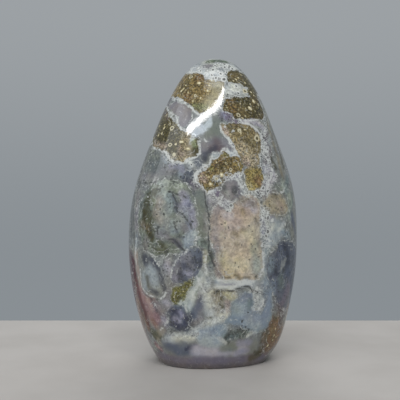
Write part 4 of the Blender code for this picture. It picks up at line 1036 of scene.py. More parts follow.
BACK_GROUND: tuple[Wash, ...] = (
    # Broad clouds of colour, then the crown.
    Wash(Tone.TEAL_GREY, 10, 0.75, (((-14, 72), (-19, 54), (-18, 38)),)),
    Wash(Tone.MAUVE_GREY, 9, 0.8, (((12, 68), (17, 52), (15, 36)),)),
    Wash(Tone.PALE_BLUE, 7, 0.7, (((-12, 32), (2, 26), (12, 22)),)),
    Wash(Tone.PINK_GREY, 6, 0.5, (((-9, 90), (0, 93), (8, 89)),)),
    Wash(Tone.SAGE, 6, 0.55, (((-6, 68), (2, 64), (8, 60)),)),
    Wash(Tone.LILAC, 7, 0.65, (((-14, 10), (2, 7), (16, 10)),)),
    Wash(Tone.MIST, 6, 0.8, (((-8, 100), (0, 101), (8, 99)), ((-4, 103.5), (5, 103.5)))),
    Wash(Tone.WHITE_LACE, 2.6, 0.6, (((-3, 99), (0, 96), (-1, 94)), ((-3, 102.4), (4, 102)))),
    Wash(Tone.BOTTLE, 1.8, 0.9, (((-4, 103.8), (1, 104)),)),
    # From the shoulders down to the base.
    Wash(Tone.MAUVE_DARK, 2, 0.6, (((5, 84.6), (9, 86)), ((-6, 83.4), (-3.6, 82)))),
    Wash(Tone.SEA_GREY, 5, 0.8, (((-12, 83), (-3, 77), (6, 83)),)),
    Wash(Tone.LILAC, 1.8, 0.7, (((-6.6, 82.4), (-9.4, 83.4)), ((6.4, 79), (7.4, 76)))),
    Wash(Tone.GREEN_GREY, 4.5, 0.7, (
        ((20.4, 80), (22.4, 74)), ((-20.4, 78), (-23.6, 68)), ((8, 70), (10, 66)),
    )),
    Wash(Tone.MIST, 3.4, 0.7, (((-7, 71), (-9, 66), (-15, 64)), ((9, 72), (10.6, 64), (10, 60)))),
    Wash(Tone.PALE_BLUE, 2.4, 0.7, (
        ((-20, 66), (-21, 60)), ((-5, 60), (-5.6, 55)), ((24.4, 58), (25.4, 52)),
    )),
    Wash(Tone.TEAL_GREY, 3, 0.7, (((-24, 63), (-26.6, 54), (-27.4, 46)), ((20, 56), (21.4, 47), (21, 42)))),
    Wash(Tone.LILAC_WHITE, 2, 0.75, (((-7, 58.6), (-1, 61.4), (4, 61.6)), ((-6, 50), (-5.6, 42)))),
    Wash(Tone.CHARCOAL, 1.2, 0.6, (((-18.4, 58), (-17.8, 51), (-18.6, 44)), ((18, 56), (18.8, 48)))),
    Wash(Tone.SLATE, 2.4, 0.7, (((-19.6, 56), (-20, 50)), ((24, 48), (25, 42)), ((-13, 61), (-10, 60)))),
    Wash(Tone.CREAM, 1.6, 0.75, (((-18.6, 38), (-18.8, 32), (-14, 29), (-10, 31), (-5, 32.6), (-1, 31)),)),
    Wash(Tone.MIST, 2.8, 0.8, (
        ((-19, 28), (-14, 26), (-11, 28)), ((4, 29), (10, 29), (15, 30)), ((14, 12), (17, 17)),
    )),
    Wash(Tone.PINK_GREY, 1.8, 0.7, (((27, 36), (26.4, 30), (25.4, 25)), ((4.6, 22), (4, 17)))),
    Wash(Tone.PINK, 3.2, 0.9, (((25.6, 23), (24, 19.5), (22.3, 15.5), (20.4, 12.5)),)),
    Wash(Tone.MAUVE_DARK, 1.5, 0.8, (((22, 21), (20.8, 17), (19, 13.6)), ((16.6, 10), (13, 8)))),
    Wash(Tone.MAROON, 3, 0.85, (((28.1, 34), (27.7, 30), (26.8, 25), (25.4, 20), (23.8, 15), (22.6, 11)),)),
    Wash(Tone.BEIGE, 2.6, 0.85, (((5, 12), (9, 11), (12, 12.6)), ((-0.6, 17.6), (2.4, 18)))),
    Wash(Tone.YELLOW_CREAM, 1.6, 0.8, (((4, 8.4), (8, 8.8), (12, 9.8)),)),
    Wash(Tone.BLUE_GREY, 2.6, 0.7, (((18, 7.4), (14, 5), (8, 4.4)), ((-16, 32), (-21, 24)))),
    Wash(Tone.TEAL_GREY, 2.4, 0.7, (((-14, 4), (-8, 3.6), (-2, 4.6)),)),
    Wash(Tone.LILAC, 2.4, 0.7, (((1, 3), (6, 2)), ((-18.6, 24), (-20, 19)))),
    Wash(Tone.MOSS, 1.4, 0.8, (((16.6, 6), (18.6, 8)), ((-6, 17.6), (-3.4, 16)), ((17.4, 20.6), (16, 23)))),
    # A dark band along the bottom rim of the back, where the stone turns under onto its base: painted shade
    # over its own mauve.
    Wash(Tone.MAUVE_DARK, 1.4, 0.75, (
        ((19, 0.6), (12, -0.8), (4, -1.2), (-6, -1.2), (-14, -0.4), (-18, 1)),
    )),
)

BACK_FIELDS: tuple[Wash, ...] = (
    # The brown fields and the clear one.
    Wash(Tone.OLIVE_BROWN, 2.6, 0.6, (((-13, 93), (-11, 95)), ((7, 97.6), (10, 95)))),
    Wash(Tone.RED_BROWN, 2, 0.5, (((-7.6, 90), (-9.4, 88)), ((8, 91), (10, 90.4)), ((16, 64.6), (18, 65)))),
    Wash(Tone.DARK_OLIVE, 2.4, 0.7, (
        ((-14.6, 87.4), (-12, 89)), ((15, 80.6), (18, 77)), ((-2, 66.4), (1, 65.6)),
    )),
    Wash(Tone.BEIGE, 3, 0.7, (((-12.6, 75), (-15, 72)), ((14.6, 74.4), (12.6, 77)))),
    Wash(Tone.PINK_GREY, 1.8, 0.6, (((-10, 78), (-9.4, 76)), ((11, 82.4), (13, 81.6)))),
    Wash(Tone.PURPLE_GREY, 1.8, 0.6, (((0, 75.4), (3, 74)),)),
    # The lobe's shells, from its edge to its core.
    Wash(Tone.PALE_GREEN, 2.2, 0.7, (
        ((0, 56), (5, 57.6), (11, 55), (13.6, 50.4)), ((-2, 45), (-1, 39.4), (3, 35.4), (8, 35.4)),
    )),
    Wash(Tone.MOSS, 2.2, 0.8, (((13.4, 47), (13.4, 41.4), (11, 37.6)), ((1, 52.6), (-0.6, 49)))),
    Wash(Tone.LILAC, 2.6, 0.8, (((3, 53), (8, 52.6), (10.6, 48), (10, 42.6), (6, 39.4), (2, 41)),)),
    Wash(Tone.BLUE_GREY, 2.4, 0.8, (((2.4, 48.4), (3, 44.6)), ((12, 53.6), (13, 52)))),
    Wash(Tone.SLATE, 1.6, 0.8, (((5.4, 49.6), (7.4, 47.4), (7, 44.4), (4.8, 43.4)),)),
    Wash(Tone.PINK_GREY, 1.4, 0.7, (((5.4, 46.6), (6, 46)),)),
    Wash(Tone.INDIGO, 0.9, 0.7, (
        ((8.6, 55), (10.4, 53.6)), ((0.6, 43.4), (1.4, 41)), ((8.4, 38.6), (9.6, 39.4)),
    )),
    # The sandy field.
    Wash(Tone.PINK_GREY, 3.4, 0.8, (((-13.6, 53.4), (-10.6, 52)), ((-12, 47), (-13.6, 45)))),
    Wash(Tone.CREAM, 2.4, 0.5, (((-12, 40), (-13.6, 38.6)),)),
    Wash(Tone.OLIVE_BEIGE, 1.4, 0.6, (
        ((-11, 49), (-12, 48)), ((-14.6, 42), (-13.6, 41.4)), ((-9.6, 41.4),),
    )),
    Wash(Tone.SAGE, 1.8, 0.5, (((-9.6, 46.6), (-10, 43.6)),)),
    # The dark lobes and the low fields.
    Wash(Tone.SLATE_DARK, 2, 0.8, (((20, 34), (22, 31)), ((19.6, 27), (20.6, 25.6)))),
    Wash(Tone.MIST, 1.6, 0.7, (((19, 31), (19.4, 28.6)), ((23, 33), (23.4, 29)))),
    Wash(Tone.LILAC, 1.4, 0.7, (((10, 21.6), (11.6, 20)), ((-14, 17), (-12, 14)), ((-6, 10), (-2, 10.6)))),
    Wash(Tone.PURPLE_GREY, 2.4, 0.5, (((-18.6, 13), (-15, 10)),)),
    Wash(Tone.TEAL_GREY, 2, 0.6, (((-16.6, 19), (-18.6, 17)), ((-9, 10), (-6, 8.4)))),
)

BACK_DUST: tuple[Dust, ...] = (
    Dust(Grain.CLEAR, 0.7, 9, (((-16, 66), (-19, 44)), ((-12, 30), (10, 23)))),
    Dust(Grain.CLEAR, 0.5, 8, (((14, 66), (17, 42)), ((-12, 9), (14, 8)))),
    Dust(Grain.LACE, 0.8, 3, (((-8, 100.6), (0, 99.4), (6, 101)), ((-2.6, 96), (0, 94)))),
    Dust(Grain.LACE, 0.7, 3, (((-7, 70), (-8, 65)), ((9.6, 71), (10.6, 62)), ((-6, 53), (-6, 42)))),
    Dust(Grain.LACE, 0.6, 2.6, (
        ((-14, 61), (-6, 60), (4, 61.6)), ((-17, 30), (-10, 31), (-2, 31)), ((4, 28), (14, 28)),
    )),
    Dust(Grain.SPECKS, 0.8, 3, (((-20, 62), (-18, 54)), ((18, 20), (16, 24)), ((4, 24), (3, 18)))),
    Dust(Grain.CLEAR, 0.8, 4, (((27, 36), (25.5, 24), (22, 14), (19, 9)), ((22, 56), (22, 44)))),
    Dust(Grain.CLEAR, 0.9, 5, (((14, 3.6), (4, 2.4), (-6, 2.4), (-14, 3)),)),
)

BACK_LIGHT_VEINS: tuple[Vein, ...] = (
    Vein(0.6, (
        ((-4.6, 81.8), (-2, 80.6), (2, 81), (4.4, 79), (6, 76), (7.4, 73.4), (6, 70.4), (3.4, 69.8)),
        ((-6, 68), (-3, 70), (1, 69.4), (4, 69), (6.6, 69.4)),
        ((-20.6, 59), (-18, 57.4), (-14, 58.6), (-10, 57.6), (-7.4, 55.6), (-6.6, 51)),
        ((-17.8, 40), (-17, 36), (-13.6, 34.4), (-10.4, 34.4), (-7.4, 38)),
    )),
    Vein(0.5, (
        ((2.4, 55.6), (7, 55.4), (12, 52), (13, 46), (11.4, 40), (7, 36.8), (2, 38), (-0.6, 43), (0, 50)),
        ((4.4, 50.8), (8, 49.6), (9, 46), (7.6, 42.4), (4, 42), (2.4, 45), (3, 48.6), (4.4, 50.8)),
        ((16, 22.4), (18, 21.4), (21, 21.6), (24, 23.4)),
        ((-21.4, 21.6), (-17, 25), (-12.6, 22.6), (-9.6, 18), (-7, 15), (-2, 14.6), (4, 14.4)),
    )),
)

BACK_DARK_VEINS: tuple[Vein, ...] = (
    Vein(0.45, (
        ((-5.6, 60), (-5.6, 55), (-6.4, 49), (-6.4, 43), (-5, 36), (-2.6, 32.6)),
        ((1.4, 61.6), (7.6, 62), (13.6, 59.4), (17.4, 54.6), (18.4, 47), (17.6, 40)),
        ((6.4, 53.8), (10.6, 51.8), (12, 47.6)), ((1.2, 45.6), (1.6, 41.4), (4.6, 39)),
        ((26.4, 60), (27.6, 52), (27.6, 42)), ((-9.6, 21), (-7.4, 17.4), (-3, 16)),
    )),
)

BACK_ORBS: tuple[Orbs, ...] = (
    Orbs(OrbKind.HOLE, (
        (-2.6, 100.6, 0.6), (0.6, 98.4, 0.7), (3, 101.4, 0.6), (-0.6, 95.4, 0.6), (1.4, 94.6, 0.5),
        (-8, 68.6, 0.6), (-9.6, 66, 0.7), (10.4, 69.4, 0.6), (9, 63.4, 0.7), (11, 61, 0.6), (-6, 57.4, 0.5),
        (-4.4, 60, 0.5), (-15.6, 62, 0.6), (-19, 60.6, 0.6), (6, 29.6, 0.5), (10.6, 28.4, 0.6),
        (13.4, 30.4, 0.5), (-14, 29.4, 0.5), (-18.4, 27.4, 0.5),
    )),
    Orbs(OrbKind.DOT, (
        (-12, 94, 0.5), (-9.4, 95.6, 0.45), (-8, 93, 0.6), (-13.6, 90.4, 0.5), (-10.4, 91, 0.4),
        (-6.6, 88, 0.5), (-15, 88, 0.4), (5.4, 96.4, 0.5), (8.4, 95, 0.6), (11, 93.4, 0.4),
        (7.4, 90.4, 0.5), (12.6, 91, 0.5), (12, 82, 0.6), (15.4, 82.4, 0.4), (17.6, 79.4, 0.5),
        (13, 78.6, 0.4), (16, 74.6, 0.5), (-14.4, 78.4, 0.5), (-11, 76.4, 0.45), (-16.4, 74.4, 0.5),
        (-3.6, 66.6, 0.5), (3.6, 66, 0.5), (15, 64.4, 0.5), (19.4, 64.4, 0.6),
    )),
    Orbs(OrbKind.RING, (
        (-9.4, 88.4, 0.8), (-11.6, 96.4, 0.6), (9.6, 97.4, 0.7), (10, 88.6, 0.7), (10.4, 80, 0.85),
        (18.6, 75.6, 0.8), (-12.6, 80, 0.8), (-13, 73, 0.9), (0.6, 66.6, 0.7), (17.4, 66.6, 0.8),
        (15.6, 77, 0.6),
    )),
    Orbs(OrbKind.BLOB, (
        (-4, 100, 0.8), (10.4, 66.6, 0.6), (-6, 40.4, 0.5), (-12, 32.4, 0.5), (4.6, 18.6, 0.5),
    )),
    Orbs(OrbKind.SPOT, (
        (8.4, 50.6, 0.4), (0.4, 47.6, 0.4), (3.4, 36.6, 0.4), (14.4, 44.4, 0.5), (10.4, 35.6, 0.4),
        (-10.4, 53.6, 0.35), (-14, 50.4, 0.4), (-12.4, 43, 0.4), (-21, 64, 0.5), (20.6, 52.6, 0.5),
        (22, 45.6, 0.4), (-3, 24.6, 0.4), (-13, 12, 0.5), (-4.6, 9.4, 0.4), (16, 13.6, 0.4),
    )),
    Orbs(OrbKind.VIOLET, (
        (-7.6, 83.4, 0.5), (-9.4, 82.4, 0.4), (7.6, 78, 0.4), (3.4, 62, 0.5), (5, 61, 0.5),
    )),
)

BACK = Drawing(
    Side.BACK, BACK_PATCHES, BACK_GROUND, BACK_FIELDS, BACK_DUST,
    BACK_LIGHT_VEINS, BACK_DARK_VEINS, BACK_ORBS,
)


class SurfaceMap:
    """Where the points of a drawing lie on the stone, and the stone's points in a drawing's chart."""

    BASE_HALF = (18.7, 14.6)  # of the flat base, in millimetres
    BASE_SPAN = 16.0  # how far the chart runs on below the rim, across the base
    WRAP = 3.0  # a point beyond the stone's outline goes round its side by this many times its distance
    LEVELS = (1.5, 101.5)  # the lowest and the highest point of the axis that the outline is looked for from
    HALVINGS = 14  # of the way to the outline
    AT_EDGE = 0.05  # a point that is beyond the outline by less stays on it
    LEAST_RADIUS = 5.0  # of the turn round the stone
    OUTSIDE = 60.0  # a distance from the axis that is well outside the stone

    def __init__(self, stone: bpy.types.Object) -> None:
        """Keeps the stone that the drawings are cast on.

        Args:
            stone: A closed mesh that stands on z = 0, in metres.
        """
        self.stone = stone

    def hit(self, start: Vector, way: Vector) -> Vector | None:
        """Where a ray first meets the stone.

        Args:
            start: The ray's start, in millimetres.
            way: Its direction.

        Returns:
            The point in millimetres, or None where the ray misses.
        """
        found, place, _, _ = self.stone.ray_cast(start * MM, way.normalized())
        return place / MM if found else None

    def seen(self, side: Side, right: float, up: float) -> Vector | None:
        """The stone's point that the eye of a side sees at a point of its drawing.

        Args:
            side: The side that the drawing is on.
            right: Millimetres to the right of the axis.
            up: Millimetres above the base.

        Returns:
            The point in millimetres, or None beyond the stone's outline.
        """
        eye = side.turn @ Vector((0, -EYE_DISTANCE, EYE_HEIGHT))
        target = side.turn @ Vector((right, 0, up))
        return self.hit(eye, target - eye)

    def place(self, side: Side, right: float, up: float) -> Vector:
        """The stone's point for any point of a drawing, also for one beyond the stone's outline.

        Args:
            side: The side that the drawing is on.
            right: Millimetres to the right of the axis.
            up: Millimetres above the base.

        Returns:
            The point on the stone, in millimetres.
        """
        seen = self.seen(side, right, up)
        if seen is not None:
            return seen
        level = min(max(up, self.LEVELS[0]), self.LEVELS[1])
        inside = 0.0
        outside = 1.0
        for _ in range(self.HALVINGS):
            middle = (inside + outside) / 2
            if self.seen(side, right * middle, level + (up - level) * middle) is None:
                outside = middle
            else:
                inside = middle
        edge = self.seen(side, right * inside, level + (up - level) * inside)
        beyond = abs(right) * (1 - inside)
        if beyond < self.AT_EDGE:
            return edge
        facing = side.turn.transposed() @ edge
        angle = math.atan2(facing.x / side.flattening, -facing.y)
        radius = math.hypot(edge.x, edge.y)
        angle += math.copysign(self.WRAP * beyond / max(radius, self.LEAST_RADIUS), right)
        way = side.turn @ Vector((side.flattening * math.sin(angle), -math.cos(angle), 0))
        outer = Vector((0, 0, edge.z)) + way.normalized() * self.OUTSIDE
        return self.hit(outer, -way) or edge

    def chart(self, side: Side, points: np.ndarray) -> np.ndarray:
        """The chart of a side: angle round the stone in radians, 0 at the middle of the side, and height.

        Args:
            side: The side that the chart is centred on.
            points: Points on the stone, in millimetres, one a row.

        Returns:
            One row of angle and height for each point.
        """
        facing = points @ np.array(side.turn)
        angle = np.arctan2(facing[:, 0] / side.flattening, -facing[:, 1])
        share = np.hypot(points[:, 0] / self.BASE_HALF[0], points[:, 1] / self.BASE_HALF[1])
        below = -(1 - np.minimum(share, 1)) * self.BASE_SPAN
        height = np.where(points[:, 2] < BASE_LEVEL, below, points[:, 2])
        return np.stack([angle, height], axis=1)


def smooth_path(points: Path, closed: bool, steps: int = 4) -> list[Point]:
    """Points on a smooth curve through the given points.

    Args:
        points: The curve's own points.
        closed: Whether it joins up with its start.
        steps: How many points stand for each of its stretches.

    Returns:
        The finer row of points.
    """
    count = len(points)
    if count < 3:
        return list(points)
    dense = []
    for i in range(count if closed else count - 1):
        if closed:
            a, b, c, d = (points[(i + k) % count] for k in (-1, 0, 1, 2))
        else:
            a, b, c, d = (points[min(max(i + k, 0), count - 1)] for k in (-1, 0, 1, 2))
        for step in range(steps):
            t = step / steps
            dense.append(
                tuple(
                    0.5 * (2 * q + (r - p) * t + (2 * p - 5 * q + 4 * r - s) * t * t
                           + (3 * q - p - 3 * r + s) * t ** 3)
                    for p, q, r, s in zip(a, b, c, d)
                )
            )
    if not closed:
        dense.append(points[-1])
    return dense


def smoothstep(value: np.ndarray, low: float, high: float) -> np.ndarray:
    """0 below low, 1 above high and a soft step between."""
    share = np.clip((value - low) / (high - low), 0, 1)
    return share * share * (3 - 2 * share)


@dataclass
class PatternPainter:
    """Keeps a stone's pattern as amounts and colours at its points, and writes them as attributes.

    Args:
        stone: The finished mesh of the stone.
        waver: How far the pattern's lines wander, in millimetres.
        field_depth: The greatest distance from a field's edge that is kept.
        vein_reach: The greatest distance from a vein that is kept.
        orb_reach: The greatest distance from an orb's middle that is kept, in radii.
        seed: Of the noise that the lines wander by, so that they wander the same way each time.
        side: The side that is being painted.
    """

    BROAD = (0.16, 1.2)  # waves per millimetre and strength of the pattern's broad wandering
    FINE = (0.55, 0.8)  # the same of its fine one
    FINE_SHIFT = Vector((7.0, 3.0, 5.0))
    UNDRAWN = {"lace": 0.04, "moss": 0.08, "contours": 0.5}  # amounts where nothing is drawn
    GRAIN_EDGE = (-0.2, 0.4)  # the depths between which a field's fine structure comes in
    WASH_CORE = 0.2  # the share of a wash's reach that has its full strength
    DUST_CORE = 0.4
    BATCH = 4000  # points that are measured at a time
    TINY = 1e-9

    stone: bpy.types.Object
    waver: float = 0.55
    field_depth: float = 4.0
    vein_reach: float = 3.0
    orb_reach: float = 3.0
    seed: int = 7
    side: Side = Side.FRONT
    colours: dict[str, np.ndarray] = field(default_factory=dict)
    amounts: dict[str, np.ndarray] = field(default_factory=dict)

    def __post_init__(self) -> None:
        """Reads the stone's points, lets them waver and starts every attribute."""
        noise.seed_set(self.seed)
        points = self.read("co") / MM
        normals = self.read("normal")
        drift = np.array([self.drift(Vector(point)) for point in points])
        drift -= normals * np.sum(drift * normals, axis=1, keepdims=True)
        self.points = points + drift
        self.points[points[:, 2] < BASE_LEVEL, 2] = 0.0
        self.map = SurfaceMap(self.stone)
        count = len(points)
        for name in ("ground", "field"):
            self.colours[name] = np.tile(Tone.SEA_GREY.linear, (count, 1))
        self.colours["orb_core"] = np.tile(Tone.CHARCOAL.linear, (count, 1))
        self.colours["orb_shell"] = np.tile(Tone.WHITE_LACE.linear, (count, 1))
        for grain in Grain:
            self.amounts[grain.value] = np.full(count, self.UNDRAWN.get(grain.value, 0.0))
        self.amounts["inside"] = np.full(count, -self.field_depth)
        self.amounts["rim"] = np.full(count, Patch.rim)
        self.amounts["soft"] = np.full(count, Patch.soft)
        self.amounts["light_vein"] = np.full(count, self.vein_reach)
        self.amounts["dark_vein"] = np.full(count, self.vein_reach)
        self.amounts["orb"] = np.full(count, self.orb_reach)

    def read(self, name: str) -> np.ndarray:
        """Reads one vector of each of the stone's points.

        Args:
            name: What is read, such as co for the place.

        Returns:
            One row for each point.
        """
        flat = np.empty(len(self.stone.data.vertices) * 3, dtype=np.float32)
        self.stone.data.vertices.foreach_get(name, flat)
        return flat.reshape(-1, 3).astype(float)

    def drift(self, point: Vector) -> Vector:
        """How far the pattern is moved at a point.

        Args:
            point: A point on the stone, in millimetres.

        Returns:
            The move, in millimetres.
        """
        broad = noise.noise_vector(point * self.BROAD[0]) * self.BROAD[1]
        fine = noise.noise_vector(point * self.FINE[0] + self.FINE_SHIFT) * self.FINE[1]
        return (broad + fine) * self.waver

    def cast(self, path: Path, closed: bool = False) -> np.ndarray:
        """The points on the stone, in millimetres, of a path or outline of the side's drawing."""
        dense = smooth_path(path, closed)
        return np.array([self.map.place(self.side, right, up) for right, up in dense])

    def near(self, curve: np.ndarray, reach: float) -> np.ndarray:
        """The stone's points that may be within reach of a curve.

        Args:
            curve: The curve's points.
            reach: In millimetres.

        Returns:
            The numbers of those points.
        """
        low = curve.min(axis=0) - reach
        high = curve.max(axis=0) + reach
        return np.nonzero(np.all((self.points > low) & (self.points < high), axis=1))[0]

    def distance(self, chosen: np.ndarray, curve: np.ndarray) -> np.ndarray:
        """Distances from chosen points of the stone to a curve.

        Args:
            chosen: Numbers of the stone's points.
            curve: The curve's points; a single one is a dab.

        Returns:
            A distance in millimetres for each chosen point.
        """
        found = np.empty(len(chosen))
        starts = curve[:-1] if len(curve) > 1 else curve
        spans = curve[1:] - starts if len(curve) > 1 else np.zeros_like(curve)
        lengths = np.maximum(np.sum(spans * spans, axis=1), self.TINY)
        for first in range(0, len(chosen), self.BATCH):
            rows = chosen[first:first + self.BATCH]
            away = self.points[rows][:, None, :] - starts[None]
            share = np.clip(np.sum(away * spans, axis=2) / lengths, 0, 1)
            gap = away - share[..., None] * spans
            found[first:first + self.BATCH] = np.sqrt(np.min(np.sum(gap * gap, axis=2), axis=1))
        return found

    def encloses(self, outline: np.ndarray) -> np.ndarray:
        """Which of the stone's points lie inside a cast outline.

        Args:
            outline: The outline's points, in millimetres.

        Returns:
            True or False for each of the stone's points.
        """
        places = self.map.chart(self.side, self.points)
        edges = self.map.chart(self.side, outline)
        inside = np.zeros(len(places), dtype=bool)
        across, up = places[:, 0], places[:, 1]
        for (x0, y0), (x1, y1) in zip(edges, np.roll(edges, -1, axis=0)):
            if y0 == y1:
                continue
            crosses = (up >= min(y0, y1)) & (up < max(y0, y1))
            inside ^= crosses & (across < x0 + (up - y0) * (x1 - x0) / (y1 - y0))
        return inside

    def paint_patch(self, patch: Patch) -> None:
        """Adds one field: its signed depth, colour, rim and fine structure.

        Args:
            patch: The field as it is drawn.
        """
        outline = self.cast(patch.outline, closed=True)
        loop = np.vstack([outline, outline[:1]])
        inside = self.encloses(outline)
        depth = np.where(inside, self.field_depth, -self.field_depth)
        chosen = self.near(loop, self.field_depth)
        gap = np.minimum(self.distance(chosen, loop), self.field_depth)
        depth[chosen] = np.where(inside[chosen], gap, -gap)
        wins = depth > self.amounts["inside"]
        self.amounts["inside"][wins] = depth[wins]
        self.colours["field"][wins] = patch.tone.linear
        self.amounts["rim"][wins] = patch.rim
        self.amounts["soft"][wins] = patch.soft
        within = smoothstep(depth, *self.GRAIN_EDGE)
        for grain in Grain:
            kept = self.amounts[grain.value]
            kept += (patch.amount(grain) - kept) * within

    def paint_wash(self, wash: Wash, layer: str) -> None:
        """Lays soft strokes over one layer of the painted colours.

        Args:
            wash: The strokes.
            layer: The layer's name, ground or field.
        """
        kept = self.colours[layer]
        for path in wash.paths:
            curve = self.cast(path)
            chosen = self.near(curve, wash.reach)
            gap = self.distance(chosen, curve)
            share = wash.strength * (1 - smoothstep(gap, self.WASH_CORE * wash.reach, wash.reach))
            kept[chosen] += (wash.tone.linear - kept[chosen]) * share[:, None]

    def paint_dust(self, dust: Dust) -> None:
        """Sets the amount of a fine structure along strokes.

        Args:
            dust: The strokes.
        """
        kept = self.amounts[dust.grain.value]
        for path in dust.paths:
            curve = self.cast(path)
            chosen = self.near(curve, dust.reach)
            gap = self.distance(chosen, curve)
            share = 1 - smoothstep(gap, self.DUST_CORE * dust.reach, dust.reach)
            kept[chosen] += (dust.amount - kept[chosen]) * share

    def paint_vein(self, vein: Vein, name: str) -> None:
        """Keeps the distance from the edges of veins where they are the nearest ones.

        Args:
            vein: The lines.
            name: The attribute, light_vein or dark_vein.
        """
        kept = self.amounts[name]
        for path in vein.paths:
            curve = self.cast(path)
            chosen = self.near(curve, self.vein_reach)
            gap = self.distance(chosen, curve) - vein.width / 2
            kept[chosen] = np.minimum(kept[chosen], gap)

    def paint_orbs(self, orbs: Orbs) -> None:
        """Keeps the distance from each orb's middle, as a share of its radius, and its two colours.

        Args:
            orbs: The orbs of one kind.
        """
        core, shell = orbs.kind.value
        for right, up, radius in orbs.places:
            curve = self.cast(((right, up),))
            chosen = self.near(curve, self.orb_reach * radius)
            share = self.distance(chosen, curve) / radius
            nearest = share < self.amounts["orb"][chosen]
            chosen = chosen[nearest]
            self.amounts["orb"][chosen] = share[nearest]
            self.colours["orb_core"][chosen] = core.linear
            self.colours["orb_shell"][chosen] = shell.linear

    def paint(self, drawing: Drawing) -> None:
        """Paints everything of one drawing, field by field and stroke by stroke.

        Args:
            drawing: What is drawn on one side.
        """
        self.side = drawing.side
        for patch in drawing.patches:
            self.paint_patch(patch)
        for wash in drawing.ground:
            self.paint_wash(wash, "ground")
        for wash in drawing.fields:
            self.paint_wash(wash, "field")
        for dust in drawing.dust:
            self.paint_dust(dust)
        for vein in drawing.light_veins:
            self.paint_vein(vein, "light_vein")
        for vein in drawing.dark_veins:
            self.paint_vein(vein, "dark_vein")
        for orbs in drawing.orbs:
            self.paint_orbs(orbs)

    def write(self) -> None:
        """Writes every amount and colour to the stone's mesh."""
        mesh = self.stone.data
        for name, values in self.amounts.items():
            attribute = mesh.attributes.new(name, "FLOAT", "POINT")
            attribute.data.foreach_set("value", values.astype(np.float32))
        for name, values in self.colours.items():
            attribute = mesh.attributes.new(name, "FLOAT_COLOR", "POINT")
            full = np.hstack([values, np.ones((len(values), 1))])
            attribute.data.foreach_set("color", full.astype(np.float32).ravel())


class Value:
    """A node's output that takes part in arithmetic; each operation adds a Math node."""

    def __init__(self, maker: "ShaderMaker", socket: bpy.types.NodeSocket) -> None:
        """Keeps the socket and the maker that adds nodes beside it."""
        self.maker = maker
        self.socket = socket

    def __add__(self, other: "Value | float") -> "Value":
        """This value plus another."""
        return self.maker.math("ADD", self, other)

    def __sub__(self, other: "Value | float") -> "Value":
        """This value less another."""
        return self.maker.math("SUBTRACT", self, other)

    def __rsub__(self, other: float) -> "Value":
        """A number less this value."""
        return self.maker.math("SUBTRACT", other, self)

    def __mul__(self, other: "Value | float") -> "Value":
        """This value times another."""
        return self.maker.math("MULTIPLY", self, other)

    def __truediv__(self, other: "Value | float") -> "Value":
        """This value divided by another."""
        return self.maker.math("DIVIDE", self, other)

    def __abs__(self) -> "Value":
        """This value without its sign."""
        return self.maker.math("ABSOLUTE", self)

    def step(self, low: float, high: float) -> "Value":
        """A soft step, from 0 at low to 1 at high."""
        return self.maker.step(self, low, high)


Input = Value | float | tuple


@dataclass(frozen=True)
class Swells:
    """Soft noise.

    Args:
        size: Of its swells, in millimetres.
        detail: How many finer sizes it has.
        roughness: How strong those are.
        shift: How far its coordinates are moved, so that no two noises are alike.
    """

    size: float
    detail: float = 3.0
    roughness: float = 0.55
    shift: Triple = (0.0, 0.0, 0.0)


@dataclass(frozen=True)
class Cells:
    """Round cells, of which some are filled.

    Args:
        size: Of a cell, in millimetres.
        shift: How far the coordinates are moved, so that no two sets are alike.
        gain: The share of cells that is filled where the amount of the grain is 1.
        extra: The share that is filled besides, or left out where it is below 0.
        soft: How gently a cell fades as the amount falls.
    """

    size: float
    shift: Triple = (0.0, 0.0, 0.0)
    gain: float = 1.0
    extra: float = 0.0
    soft: float = 0.06


@dataclass(frozen=True)
class Coat:
    """One tone that is laid over the colour.

    Args:
        tone: The tone.
        edge: The values between which it comes in.
        cover: Its greatest share.
    """

    tone: Tone
    edge: Edge
    cover: float


@dataclass(frozen=True)
class Mottle:
    """Lighter and darker clouds that the colour is multiplied by.

    Args:
        swells: The clouds' noise.
        edge: The noise of the darkest and of the lightest clouds.
        dark: Red, green and blue of the darkest ones.
        light: The same of the lightest ones.
    """

    swells: Swells
    edge: Edge
    dark: Triple
    light: Triple


